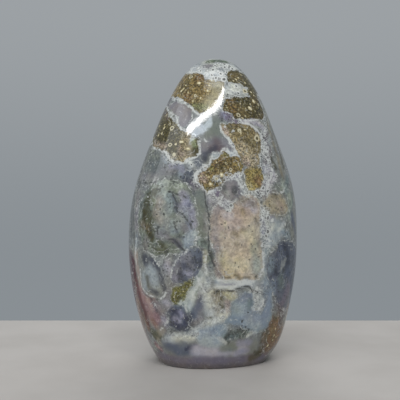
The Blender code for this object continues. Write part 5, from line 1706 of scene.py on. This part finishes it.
class ShaderMaker:
    """Adds nodes to one material or world."""

    def __init__(self, tree: bpy.types.NodeTree) -> None:
        """Empties the tree that the nodes go in."""
        self.tree = tree
        self.tree.nodes.clear()

    def node(self, kind: str, settings: dict, sockets: dict[int | str, Input]) -> bpy.types.Node:
        """Adds any node.

        Args:
            kind: The node's type.
            settings: Its properties, which are set first.
            sockets: A value or link for each named or numbered input.

        Returns:
            The new node.
        """
        node = self.tree.nodes.new(kind)
        for name, setting in settings.items():
            setattr(node, name, setting)
        for key, value in sockets.items():
            if isinstance(value, Value):
                self.tree.links.new(value.socket, node.inputs[key])
            else:
                node.inputs[key].default_value = value
        return node

    def output(self, node: bpy.types.Node, key: int | str = 0) -> Value:
        """One output of a node."""
        return Value(self, node.outputs[key])

    def math(self, operation: str, *values: Value | float) -> Value:
        """The result of a Math node."""
        return self.output(self.node("ShaderNodeMath", {"operation": operation}, dict(enumerate(values))))

    def vector(self, operation: str, sockets: dict[int | str, Input]) -> Value:
        """The vector that a Vector Math node gives."""
        return self.output(self.node("ShaderNodeVectorMath", {"operation": operation}, sockets))

    def moved(self, vector: Value, shift: Input) -> Value:
        """A vector plus another."""
        return self.vector("ADD", {0: vector, 1: shift})

    def scaled(self, vector: Value, factor: float) -> Value:
        """A vector times a number."""
        return self.vector("SCALE", {0: vector, "Scale": factor})

    def coordinates(self) -> Value:
        """The piece's own coordinates, in millimetres."""
        return self.scaled(self.output(self.node("ShaderNodeTexCoord", {}, {}), "Object"), 1 / MM)

    def step(self, value: Value, low: float, high: float) -> Value:
        """A soft step.

        Args:
            value: What it is taken of.
            low: Gives 0.
            high: Gives 1.

        Returns:
            A value from 0 to 1.
        """
        node = self.node(
            "ShaderNodeMapRange",
            {"interpolation_type": "SMOOTHSTEP"},
            {"Value": value, "From Min": low, "From Max": high, "To Min": 0.0, "To Max": 1.0},
        )
        return self.output(node)

    def mix(self, share: Value | float, first: Input, second: Input, blend: str = "MIX") -> Value:
        """Two colours mixed.

        Args:
            share: Of the second one.
            first: The colour below.
            second: The colour above.
            blend: How the second one lies on the first.

        Returns:
            The mixed colour.
        """
        settings = {"data_type": "RGBA", "blend_type": blend, "clamp_factor": True}
        return self.output(self.node("ShaderNodeMix", settings, {0: share, 6: first, 7: second}), 2)

    def amount(self, name: str) -> Value:
        """A number attribute of the mesh."""
        return self.output(self.node("ShaderNodeAttribute", {"attribute_name": name}, {}), "Fac")

    def colour(self, name: str) -> Value:
        """A colour attribute of the mesh."""
        return self.output(self.node("ShaderNodeAttribute", {"attribute_name": name}, {}), "Color")

    def noise(self, place: Value, swells: Swells) -> bpy.types.Node:
        """A Noise Texture node.

        Args:
            place: The coordinates.
            swells: Its size and detail.

        Returns:
            The new node.
        """
        sockets = {
            "Vector": self.moved(place, swells.shift) if any(swells.shift) else place,
            "Scale": 1 / swells.size,
            "Detail": swells.detail,
            "Roughness": swells.roughness,
        }
        return self.node("ShaderNodeTexNoise", {"noise_dimensions": "3D"}, sockets)

    def clouds(self, place: Value, swells: Swells) -> Value:
        """Soft noise from 0 to 1."""
        return self.output(self.noise(place, swells), "Fac")

    def cells(self, place: Value, cells: Cells) -> tuple[Value, list[Value]]:
        """Round cells.

        Args:
            place: The coordinates.
            cells: Their size and shift.

        Returns:
            The distance from each cell's middle, and three numbers from 0 to 1 that differ from cell to cell.
        """
        sockets = {
            "Vector": self.moved(place, cells.shift) if any(cells.shift) else place,
            "Scale": 1 / cells.size,
            "Randomness": 1.0,
        }
        node = self.node("ShaderNodeTexVoronoi", {"voronoi_dimensions": "3D", "feature": "F1"}, sockets)
        parts = self.node("ShaderNodeSeparateColor", {}, {0: self.output(node, "Color")})
        return self.output(node, "Distance"), [self.output(parts, number) for number in range(3)]


class JasperColour:
    """The jasper's colour, built up from its ground to its finest lines.

    Every method lays its own marks over the colour that is there. All lengths are in millimetres.
    """

    # How edges and marks wander.
    WANDER = Swells(2.2, 3.0, 0.6)
    WANDER_REACH = 1.6
    RAGGED = Swells(0.8, 3.0, 0.65)
    RAGGED_REACH = 1.8
    RAGGED_BROAD = Swells(2.2, 2.0)
    RAGGED_BROAD_REACH = 2.0
    MIDDLE = 0.5  # of a noise
    CALM = 0.85  # how far the marks fade in a clear place

    MOTTLES = (
        Mottle(Swells(0.75, 3.0, 0.62), (0.34, 0.66), (0.75, 0.76, 0.77), (1.25, 1.25, 1.23)),
        Mottle(Swells(2.0, shift=(0.0, 50.0, 0.0)), (0.32, 0.68), (0.75, 0.75, 0.78), (1.21, 1.22, 1.19)),
    )
    WARMTH = Mottle(
        Swells(6.0, 2.0, shift=(70.0, 0.0, 0.0)), (0.3, 0.7), (0.92, 0.96, 1.03), (1.05, 1.03, 0.95)
    )

    THREADS = Swells(0.9, 4.0, 0.7, (31.0, 5.0, 11.0))
    MOSS_GAIN = 0.22
    MOSS = Coat(Tone.DARK_OLIVE, (0.60, 0.74), 0.75)

    SPECK_CELLS = Cells(1.1, (3.0, 17.0, 23.0), extra=0.04)
    SPECK = Coat(Tone.CHARCOAL, (0.40, 0.18), 0.75)

    # Grit, granules and small orbs of the brown fields.
    GRIT = Mottle(
        Swells(0.5, 2.0, 0.6, (5.0, 0.0, 9.0)), (0.36, 0.64), (0.40, 0.38, 0.34), (1.75, 1.72, 1.68)
    )
    GRIT_GAIN = 2.5
    GRANULE_CELLS = Cells(0.8, (0.0, 0.0, 40.0), gain=0.9, soft=0.1)
    GRANULE = Coat(Tone.HAZE_OLIVE, (0.45, 0.25), 0.6)
    ORB_CELLS = Cells(1.4, gain=0.5, soft=0.05)
    ORB_EDGE = (0.32, 0.22)
    ORB_CORE = (0.18, 0.1)
    ORB_WITH_CORE = (0.45, 0.55)
    ORB_COVER = 0.85

    # Lines round hidden lobes, as in agate, and lines beside the fields' edges.
    LOBES = Swells(5.5, 3.0, 0.5, (17.0, 29.0, 3.0))
    LOBE_LINES = 9.0
    LOBE_GATE = Swells(3.0, 2.0, shift=(61.0, 7.0, 13.0))
    LOBE_PALE = Coat(Tone.WHITE_LACE, (0.13, 0.02), 0.6)
    LOBE_PALE_GAIN = 0.3
    LOBE_PALE_GATE = (0.56, 0.78)
    LOBE_DARK = Coat(Tone.SLATE_DARK, (0.40, 0.5), 0.55)
    LOBE_DARK_GAIN = 0.25
    LOBE_DARK_GATE = (0.58, 0.78)
    ECHO_GAP = 1.3
    ECHO_REACH = (3.2, 1.2)
    ECHO_START = (0.3, 0.8)
    ECHO_GATE = Swells(2.4, 2.0, shift=(23.0, 71.0, 5.0))
    ECHO_PALE = Coat(Tone.WHITE_LACE, (0.14, 0.03), 0.5)
    ECHO_PALE_GATE = (0.5, 0.62)
    ECHO_DARK = Coat(Tone.SLATE_DARK, (0.38, 0.48), 0.45)
    ECHO_DARK_GATE = (0.5, 0.38)
    HALF = 0.5  # the height of a wave that goes up and down once a line

    # Froth, thickest along the edges of fields, with ringed holes.
    HALO_MIDDLE = 0.9  # in widths of the rim, outside the edge
    HALO_WIDTH = (1.3, 0.2)  # widths of the rim, and millimetres
    HALO_EDGE = (1.0, 0.1)
    HALO_GAIN = 0.8
    FROTH = Swells(1.5, 3.0, 0.6, (9.0, 41.0, 2.0))
    FROTH_GAIN = 0.38
    FROTH_EDGE = (0.60, 0.88)
    FROTH_COVER = 0.75
    LUMPS = Swells(0.6, 2.0, 0.6, (2.0, 3.0, 77.0))
    LUMP_EDGE = (0.40, 0.58)
    FROTH_SHADE = (0.62, 0.63, 0.64, 1)
    HOLE_CELLS = Cells(1.7, (0.0, 13.0, 61.0), gain=1.1, extra=-0.35)
    HOLE_COATS = (
        Coat(Tone.WHITE_LACE, (0.50, 0.40), 0.75),
        Coat(Tone.CHARCOAL, (0.33, 0.24), 0.85),
        Coat(Tone.MIST, (0.20, 0.10), 0.55),
    )

    # The fields' thin rims, the drawn veins and the drawn orbs.
    RIM_BREAKS = Swells(1.1, 3.0, 0.6)
    RIM_BREAK_EDGE = (0.42, 0.56)
    RIM_SHARE = 0.6
    RIM = Coat(Tone.WHITE_LACE, (1.0, 0.3), 0.8)
    VEIN_STRENGTH = Swells(1.3, 3.0, 0.6, (0.0, 0.0, 90.0))
    LIGHT_VEIN = Coat(Tone.WHITE_LACE, (0.25, -0.15), 0.8)
    LIGHT_RAGGED = 1.1
    LIGHT_GATE = (0.34, 0.52)
    DARK_VEIN = Coat(Tone.CHARCOAL, (0.26, -0.08), 0.85)
    DARK_RAGGED = 0.6
    DARK_GATE = (0.78, 0.64)
    DRAWN_RAGGED = 0.5
    DRAWN_CORE = (0.46, 0.66)
    DRAWN_EDGE = (1.1, 0.85)
    DRAWN_COVER = 0.9

    def __init__(self, maker: ShaderMaker, place: Value) -> None:
        """Lays every mark in order.

        Args:
            maker: Adds the nodes.
            place: The stone's coordinates, in millimetres.
        """
        self.maker = maker
        self.place = place
        swirl = maker.output(maker.noise(place, self.WANDER), "Color")
        shift = maker.vector("SUBTRACT", {0: swirl, 1: (self.MIDDLE,) * 3})
        self.wander = maker.moved(place, maker.scaled(shift, self.WANDER_REACH))
        self.busy = 1 - maker.amount("clear") * self.CALM
        self.ragged = maker.clouds(place, self.RAGGED) - self.MIDDLE
        broad = maker.clouds(place, self.RAGGED_BROAD) - self.MIDDLE
        self.inside = maker.amount("inside") + self.ragged * self.RAGGED_REACH
        self.inside = self.inside + broad * self.RAGGED_BROAD_REACH
        in_field = (self.inside / maker.amount("soft")).step(-1.0, 1.0)
        self.colour = maker.mix(in_field, maker.colour("ground"), maker.colour("field"))
        self.mottle()
        self.moss()
        self.specks()
        self.granules()
        self.contours()
        self.echoes()
        self.froth()
        self.rims()
        self.veins()
        self.orbs()

    def coat(self, coat: Coat, value: Value, gate: Value) -> None:
        """Lays one tone over the colour.

        Args:
            coat: The tone, its edge and its cover.
            value: What the edge is taken of.
            gate: The share that may show.
        """
        share = value.step(*coat.edge) * gate * coat.cover
        self.colour = self.maker.mix(share, self.colour, coat.tone.opaque)

    def cloud(self, mottle: Mottle, share: Value | float) -> None:
        """Multiplies the colour by light and dark clouds.

        Args:
            mottle: The clouds.
            share: How far they show.
        """
        light = self.maker.clouds(self.wander, mottle.swells).step(*mottle.edge)
        shade = self.maker.mix(light, (*mottle.dark, 1), (*mottle.light, 1))
        self.colour = self.maker.mix(share, self.colour, shade, "MULTIPLY")

    def filled(self, cells: Cells, amount: Value, chance: Value) -> Value:
        """1 in the cells that are filled and 0 in the others."""
        return (amount * cells.gain + cells.extra - chance).step(0.0, cells.soft)

    def mottle(self) -> None:
        """Lighter and darker clouds in two sizes, and broad warmer and cooler ones."""
        for mottle in self.MOTTLES:
            self.cloud(mottle, self.busy)
        self.cloud(self.WARMTH, 1.0)

    def moss(self) -> None:
        """Dark olive threads and grains."""
        thread = self.maker.clouds(self.wander, self.THREADS)
        self.coat(self.MOSS, thread + self.maker.amount("moss") * self.MOSS_GAIN, self.busy)

    def specks(self) -> None:
        """Small dark dots, each in a cell of its own."""
        gap, chances = self.maker.cells(self.wander, self.SPECK_CELLS)
        self.coat(self.SPECK, gap, self.filled(self.SPECK_CELLS, self.maker.amount("specks"), chances[0]))

    def granules(self) -> None:
        """Fine gold and dark granules with small tan orbs among them, some with a darker middle."""
        amount = self.maker.amount("orbs")
        self.cloud(self.GRIT, (amount * self.GRIT_GAIN).step(0.0, 1.0))
        gap, chances = self.maker.cells(self.wander, self.GRANULE_CELLS)
        self.coat(self.GRANULE, gap, self.filled(self.GRANULE_CELLS, amount, chances[0]))
        gap, chances = self.maker.cells(self.wander, self.ORB_CELLS)
        kept = self.filled(self.ORB_CELLS, amount, chances[1])
        core = gap.step(*self.ORB_CORE) * chances[2].step(*self.ORB_WITH_CORE)
        tan = self.maker.mix(core, Tone.CREAM_DOT.opaque, Tone.OLIVE_BROWN.opaque)
        self.colour = self.maker.mix(gap.step(*self.ORB_EDGE) * kept * self.ORB_COVER, self.colour, tan)

    def contours(self) -> None:
        """Thin pale and dark lines that follow each other round hidden lobes, as in agate."""
        level = self.maker.clouds(self.place, self.LOBES)
        wave = self.maker.math("PINGPONG", level * self.LOBE_LINES, self.HALF)
        gate = self.maker.clouds(self.place, self.LOBE_GATE)
        amount = self.maker.amount("contours")
        pale = (gate + amount * self.LOBE_PALE_GAIN).step(*self.LOBE_PALE_GATE)
        self.coat(self.LOBE_PALE, wave, pale * self.busy)
        dark = ((1 - gate) + amount * self.LOBE_DARK_GAIN).step(*self.LOBE_DARK_GATE)
        self.coat(self.LOBE_DARK, wave, dark * self.busy)

    def echoes(self) -> None:
        """Thin pale and dark lines that run beside the edge of each field, broken here and there."""
        depth = abs(self.inside)
        wave = self.maker.math("PINGPONG", depth / self.ECHO_GAP, self.HALF)
        near = depth.step(*self.ECHO_REACH) * depth.step(*self.ECHO_START)
        gate = self.maker.clouds(self.place, self.ECHO_GATE)
        self.coat(self.ECHO_PALE, wave, near * gate.step(*self.ECHO_PALE_GATE))
        self.coat(self.ECHO_DARK, wave, near * gate.step(*self.ECHO_DARK_GATE))

    def froth(self) -> None:
        """Froth of pale and grey lumps with dark holes, thickest along the edges of fields."""
        maker = self.maker
        rim = maker.amount("rim")
        width = rim * self.HALO_WIDTH[0] + self.HALO_WIDTH[1]
        halo = (abs(self.inside + rim * self.HALO_MIDDLE) / width).step(*self.HALO_EDGE) * rim
        amount = maker.amount("lace") + halo * self.HALO_GAIN
        patchy = maker.clouds(self.wander, self.FROTH) + amount * self.FROTH_GAIN
        foam = patchy.step(*self.FROTH_EDGE) * self.busy
        lumps = maker.clouds(self.wander, self.LUMPS).step(*self.LUMP_EDGE)
        shade = maker.mix(1.0, self.colour, self.FROTH_SHADE, "MULTIPLY")
        froth = maker.mix(lumps, shade, Tone.WHITE_LACE.opaque)
        self.colour = maker.mix(foam * self.FROTH_COVER, self.colour, froth)
        gap, chances = maker.cells(self.wander, self.HOLE_CELLS)
        kept = self.filled(self.HOLE_CELLS, amount, chances[0]) * self.busy
        for coat in self.HOLE_COATS:
            self.coat(coat, gap, kept)

    def rims(self) -> None:
        """A thin white line along the edge of each field, broken here and there."""
        patchy = self.maker.clouds(self.place, self.RIM_BREAKS).step(*self.RIM_BREAK_EDGE)
        width = self.maker.amount("rim") * self.RIM_SHARE
        self.coat(self.RIM, abs(self.inside + width) / width, patchy)

    def veins(self) -> None:
        """The drawn white and dark lines, stronger and weaker along their way."""
        strong = self.maker.clouds(self.place, self.VEIN_STRENGTH)
        light = self.maker.amount("light_vein") + self.ragged * self.LIGHT_RAGGED
        self.coat(self.LIGHT_VEIN, light, strong.step(*self.LIGHT_GATE))
        dark = self.maker.amount("dark_vein") + self.ragged * self.DARK_RAGGED
        self.coat(self.DARK_VEIN, dark, strong.step(*self.DARK_GATE))

    def orbs(self) -> None:
        """The orbs that are drawn one by one."""
        maker = self.maker
        out = maker.amount("orb") + self.ragged * self.DRAWN_RAGGED
        tone = maker.mix(out.step(*self.DRAWN_CORE), maker.colour("orb_core"), maker.colour("orb_shell"))
        self.colour = maker.mix(out.step(*self.DRAWN_EDGE) * self.DRAWN_COVER, self.colour, tone)


@dataclass(frozen=True)
class JasperFinish:
    """The polished jasper: its colour, gloss and relief.

    Args:
        roughness: Of the clearest polish.
        dull: Extra roughness of the duller spots.
        duller: The duller spots' noise.
        dull_edge: The noise between which they come in.
        ior: Of quartz.
        waves: The noise of the polish's relief.
        relief: How far the polish follows it, in metres.
        bump: How strongly that shows.
    """

    roughness: float = 0.06
    dull: float = 0.03
    duller: Swells = Swells(3.0, 2.0)
    dull_edge: Edge = (0.35, 0.8)
    ior: float = 1.54
    waves: Swells = Swells(1.2, 2.0)
    relief: float = 0.00002
    bump: float = 0.35

    def build(self, name: str) -> bpy.types.Material:
        """Makes the material.

        Args:
            name: The material's name.

        Returns:
            The finished material.
        """
        material = bpy.data.materials.new(name)
        material.use_nodes = True
        maker = ShaderMaker(material.node_tree)
        place = maker.coordinates()
        colour = JasperColour(maker, place).colour
        rough = maker.clouds(place, self.duller).step(*self.dull_edge) * self.dull + self.roughness
        height = maker.clouds(place, self.waves)
        bump = maker.node(
            "ShaderNodeBump", {}, {"Strength": self.bump, "Distance": self.relief, "Height": height}
        )
        sockets = {
            "Base Color": colour,
            "Roughness": rough,
            "IOR": self.ior,
            "Metallic": 0.0,
            "Normal": maker.output(bump),
        }
        shader = maker.node("ShaderNodeBsdfPrincipled", {}, sockets)
        maker.node("ShaderNodeOutputMaterial", {}, {"Surface": maker.output(shader)})
        return material


@dataclass(frozen=True)
class FloorFinish:
    """A plain pale surface with a slight satin sheen.

    Args:
        clouds: The noise of its broad faint clouds.
        edge: The noise of the darkest and of the lightest ones.
        dark: Linear red, green and blue of the darkest ones.
        light: The same of the lightest ones.
        roughness: Of all of it.
    """

    clouds: Swells = Swells(30.0, 3.0)
    edge: Edge = (0.3, 0.7)
    dark: Triple = (0.42, 0.395, 0.37)
    light: Triple = (0.46, 0.435, 0.41)
    roughness: float = 0.6

    def build(self, name: str) -> bpy.types.Material:
        """Makes the material.

        Args:
            name: The material's name.

        Returns:
            The finished material.
        """
        material = bpy.data.materials.new(name)
        material.use_nodes = True
        maker = ShaderMaker(material.node_tree)
        clouds = maker.clouds(maker.coordinates(), self.clouds).step(*self.edge)
        colour = maker.mix(clouds, (*self.dark, 1), (*self.light, 1))
        sockets = {"Base Color": colour, "Roughness": self.roughness}
        shader = maker.node("ShaderNodeBsdfPrincipled", {}, sockets)
        maker.node("ShaderNodeOutputMaterial", {}, {"Surface": maker.output(shader)})
        return material


@dataclass
class Stone:
    """The stone itself: a finer copy of the CAD solid with its pattern painted on.

    Args:
        cuts: How many times each face of the CAD solid is cut, both ways.
        smoothing: Levels of subdivision of the smooth form that the finer copy is drawn onto.
        weld: Corners that are nearer than this are joined, in metres.
        finish: Of the whole surface.
    """

    cuts: int = 4
    smoothing: int = 3
    weld: float = 0.01 * MM
    finish: JasperFinish = JasperFinish()

    def build(self) -> bpy.types.Object:
        """Makes the stone, dressed and declared.

        Returns:
            The finished object.
        """
        form = self.copy_of_node("form")
        smooth = form.modifiers.new("smooth", "SUBSURF")
        smooth.levels = self.smoothing
        smooth.render_levels = self.smoothing
        self.apply(form, smooth.name)
        stone = self.copy_of_node("jasper_stone")
        self.edit(stone, lambda: bpy.ops.mesh.subdivide(number_cuts=self.cuts))
        wrap = stone.modifiers.new("wrap", "SHRINKWRAP")
        wrap.target = form
        wrap.wrap_method = "NEAREST_SURFACEPOINT"
        self.apply(stone, wrap.name)
        bpy.data.meshes.remove(form.data)
        stone.data.shade_smooth()
        painter = PatternPainter(stone)
        for drawing in (RIGHT, LEFT, BACK, FRONT):
            painter.paint(drawing)
        painter.write()
        stone.data.materials.clear()
        stone.data.materials.append(self.finish.build("polished_jasper"))
        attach(stone, "root")
        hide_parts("stone")
        return stone

    def copy_of_node(self, name: str) -> bpy.types.Object:
        """A copy of the CAD stone with its loose triangles joined into quads.

        Args:
            name: The copy's name.

        Returns:
            The copy.
        """
        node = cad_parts["stone"]
        copy = bpy.data.objects.new(name, node.data.copy())
        bpy.context.collection.objects.link(copy)
        self.edit(copy, lambda: bpy.ops.mesh.remove_doubles(threshold=self.weld))
        join = bpy.ops.mesh.tris_convert_to_quads
        self.edit(copy, lambda: join(face_threshold=math.pi, shape_threshold=math.pi))
        return copy

    def choose(self, piece: bpy.types.Object) -> None:
        """Selects one piece alone.

        Args:
            piece: The piece.
        """
        bpy.ops.object.select_all(action="DESELECT")
        piece.select_set(True)
        bpy.context.view_layer.objects.active = piece

    def edit(self, piece: bpy.types.Object, act: Callable[[], object]) -> None:
        """Runs one edit-mode operator on all of a piece.

        Args:
            piece: The piece.
            act: Calls the operator.
        """
        self.choose(piece)
        bpy.ops.object.mode_set(mode="EDIT")
        bpy.ops.mesh.select_all(action="SELECT")
        act()
        bpy.ops.object.mode_set(mode="OBJECT")

    def apply(self, piece: bpy.types.Object, modifier: str) -> None:
        """Applies one modifier of a piece."""
        self.choose(piece)
        bpy.ops.object.modifier_apply(modifier=modifier)


@dataclass(frozen=True)
class Bar:
    """One straight bar of window light: (right, up) of its two ends on the bars' plane, and its width."""

    start: Point
    end: Point
    width: float


@dataclass(frozen=True)
class Lamp:
    """A soft rectangular lamp.

    Args:
        name: The lamp's name.
        place: Where it is, in millimetres.
        target: What it faces.
        size: Its width and height.
        power: In watts.
        colour: Linear red, green and blue.
        shows: Whether it is seen in the polish.
    """

    name: str
    place: Triple
    target: Triple
    size: Point
    power: float
    colour: Triple
    shows: bool = True


@dataclass
class Studio:
    """The floor, the light and the camera round the stone.

    Args:
        floor_half_width: Half the floor's width, in millimetres.
        floor_front: How far it comes forward of the axis.
        floor_back: How far it goes behind the axis.
        floor_thickness: Of the slab.
        floor_edge: How far its edges are rounded.
        sight: The nearest and the farthest that the camera sees, in metres.
    """

    # A window's bent strip of light and the paler pane below it, on an upright plane in front of the stone.
    STREAK = (
        Bar((-512, 806), (-430, 784), 44),
        Bar((-450, 772), (-285, 744), 78),
        Bar((-290, 746), (-150, 748), 68),
        Bar((-155, 750), (0, 763), 50),
        Bar((-10, 762), (110, 792), 44),
        Bar((100, 787), (190, 840), 58),
        Bar((180, 830), (272, 935), 68),
        Bar((265, 925), (343, 1127), 54),
    )
    PANE = (
        Bar((-330, 655), (-100, 665), 84),
        Bar((-105, 655), (60, 708), 70),
    )
    BAR_PLANE = -700.0
    STREAK_LIGHT = 28.0  # radiance, in watts per square metre and steradian
    PANE_LIGHT = 8.5
    WHITE = (1.0, 1.0, 1.0)
    PANE_COLOUR = (0.76, 0.87, 1.0)
    LAMPS = (
        Lamp("veil", (60, -600, 1350), (0, 0, 70), (700, 500), 2.2, (1.0, 0.99, 0.96)),
        Lamp("side", (-900, -500, 650), (0, 0, 55), (700, 700), 2.4, (0.95, 0.98, 1.0)),
        Lamp("rear_fill", (100, 700, 600), (0, 0, 50), (600, 600), 3.4, (1.0, 1.0, 1.0), shows=False),
    )

    # The even light from all round: low down, high up and in front, and where one turns into the other.
    LOW_GREY = (0.250, 0.275, 0.295, 1)
    HIGH_GREY = (0.335, 0.358, 0.376, 1)
    FRONT_GREY = (0.45, 0.465, 0.48, 1)
    RISE = (-0.1, 0.35)
    FORWARD = (0.1, -0.7)

    floor_half_width: float = 150.0
    floor_front: float = 150.0
    floor_back: float = 73.0
    floor_thickness: float = 18.0
    floor_edge: float = 1.0
    sight: Edge = (0.005, 50.0)

    def build(self) -> None:
        """Makes the camera, the floor, the backdrop light and the lamps."""
        self.camera()
        self.floor()
        self.world()
        for number, bar in enumerate(self.STREAK):
            self.bar(f"streak_{number}", bar, self.STREAK_LIGHT, self.WHITE)
        for number, bar in enumerate(self.PANE):
            self.bar(f"pane_{number}", bar, self.PANE_LIGHT, self.PANE_COLOUR)
        for lamp in self.LAMPS:
            self.lamp(lamp)
        bpy.context.scene.view_settings.view_transform = "Standard"

    def camera(self) -> None:
        """A level camera in front of the stone."""
        data = bpy.data.cameras.new("camera")
        data.lens = LENS
        data.sensor_width = SENSOR_WIDTH
        data.shift_x, data.shift_y = FRAME_SHIFT
        data.clip_start, data.clip_end = self.sight
        camera = bpy.data.objects.new("camera", data)
        camera.location = (0, -EYE_DISTANCE * MM, EYE_HEIGHT * MM)
        camera.rotation_euler = (math.pi / 2, 0, 0)
        bpy.context.collection.objects.link(camera)
        bpy.context.scene.camera = camera

    def floor(self) -> None:
        """A pale slab whose back edge is where the stone's floor ends."""
        bpy.ops.object.select_all(action="DESELECT")
        middle = (self.floor_back - self.floor_front) / 2
        bpy.ops.mesh.primitive_cube_add(size=1.0, location=(0, middle * MM, -self.floor_thickness / 2 * MM))
        slab = bpy.context.object
        slab.name = "floor"
        slab.scale = (
            2 * self.floor_half_width * MM,
            (self.floor_back + self.floor_front) * MM,
            self.floor_thickness * MM,
        )
        bpy.ops.object.transform_apply(location=True, rotation=False, scale=True)
        bevel = slab.modifiers.new("edge", "BEVEL")
        bevel.width = self.floor_edge * MM
        bevel.segments = 3
        bpy.ops.object.modifier_apply(modifier=bevel.name)
        slab.data.materials.append(FloorFinish().build("pale_floor"))

    def world(self) -> None:
        """An even grey light from all round, a little darker low down."""
        world = bpy.data.worlds.new("studio")
        world.use_nodes = True
        maker = ShaderMaker(world.node_tree)
        where = maker.node("ShaderNodeTexCoord", {}, {})
        parts = maker.node("ShaderNodeSeparateXYZ", {}, {0: maker.output(where, "Generated")})
        colour = maker.mix(maker.output(parts, "Z").step(*self.RISE), self.LOW_GREY, self.HIGH_GREY)
        colour = maker.mix(maker.output(parts, "Y").step(*self.FORWARD), colour, self.FRONT_GREY)
        light = maker.node("ShaderNodeBackground", {}, {"Color": colour, "Strength": 1.0})
        maker.node("ShaderNodeOutputWorld", {}, {"Surface": maker.output(light)})
        bpy.context.scene.world = world

    def bar(self, name: str, bar: Bar, light: float, colour: Triple) -> None:
        """Adds one bar of light on the plane in front of the stone.

        Args:
            name: The lamp's name.
            bar: Its place and width.
            light: Its radiance.
            colour: Linear red, green and blue.
        """
        first = Vector((bar.start[0], self.BAR_PLANE, bar.start[1]))
        last = Vector((bar.end[0], self.BAR_PLANE, bar.end[1]))
        along = (last - first).normalized()
        away = Vector((0, -1, 0))
        turned = Matrix((along, away.cross(along), away)).transposed()
        length = (last - first).length
        power = light * math.pi * length * MM * bar.width * MM
        lamp = self.area_light(name, (length, bar.width), power, colour)
        lamp.location = (first + last) / 2 * MM
        lamp.rotation_euler = turned.to_euler()

    def lamp(self, lamp: Lamp) -> None:
        """Adds one lamp.

        Args:
            lamp: Its place, size and light.
        """
        light = self.area_light(lamp.name, lamp.size, lamp.power, lamp.colour)
        light.location = Vector(lamp.place) * MM
        light.rotation_euler = (Vector(lamp.target) - Vector(lamp.place)).to_track_quat("-Z", "Y").to_euler()
        if not lamp.shows:
            light.visible_glossy = False
            light.visible_camera = False

    def area_light(self, name: str, size: Point, power: float, colour: Triple) -> bpy.types.Object:
        """A rectangular light at the origin.

        Args:
            name: The light's name.
            size: Its width and height, in millimetres.
            power: In watts.
            colour: Linear red, green and blue.

        Returns:
            The light.
        """
        data = bpy.data.lights.new(name, "AREA")
        data.shape = "RECTANGLE"
        data.size = size[0] * MM
        data.size_y = size[1] * MM
        data.energy = power
        data.color = colour
        light = bpy.data.objects.new(name, data)
        bpy.context.collection.objects.link(light)
        return light


def main() -> None:
    """Builds the studio and the stone, and logs the number of the stone's faces."""
    logging.basicConfig(level=logging.INFO, format="%(message)s")
    Studio().build()
    LOG.info("studio: floor, light and camera")
    stone = Stone().build()
    LOG.info("%s: %d faces", stone.name, len(stone.data.polygons))


if __name__ == "__main__":
    main()
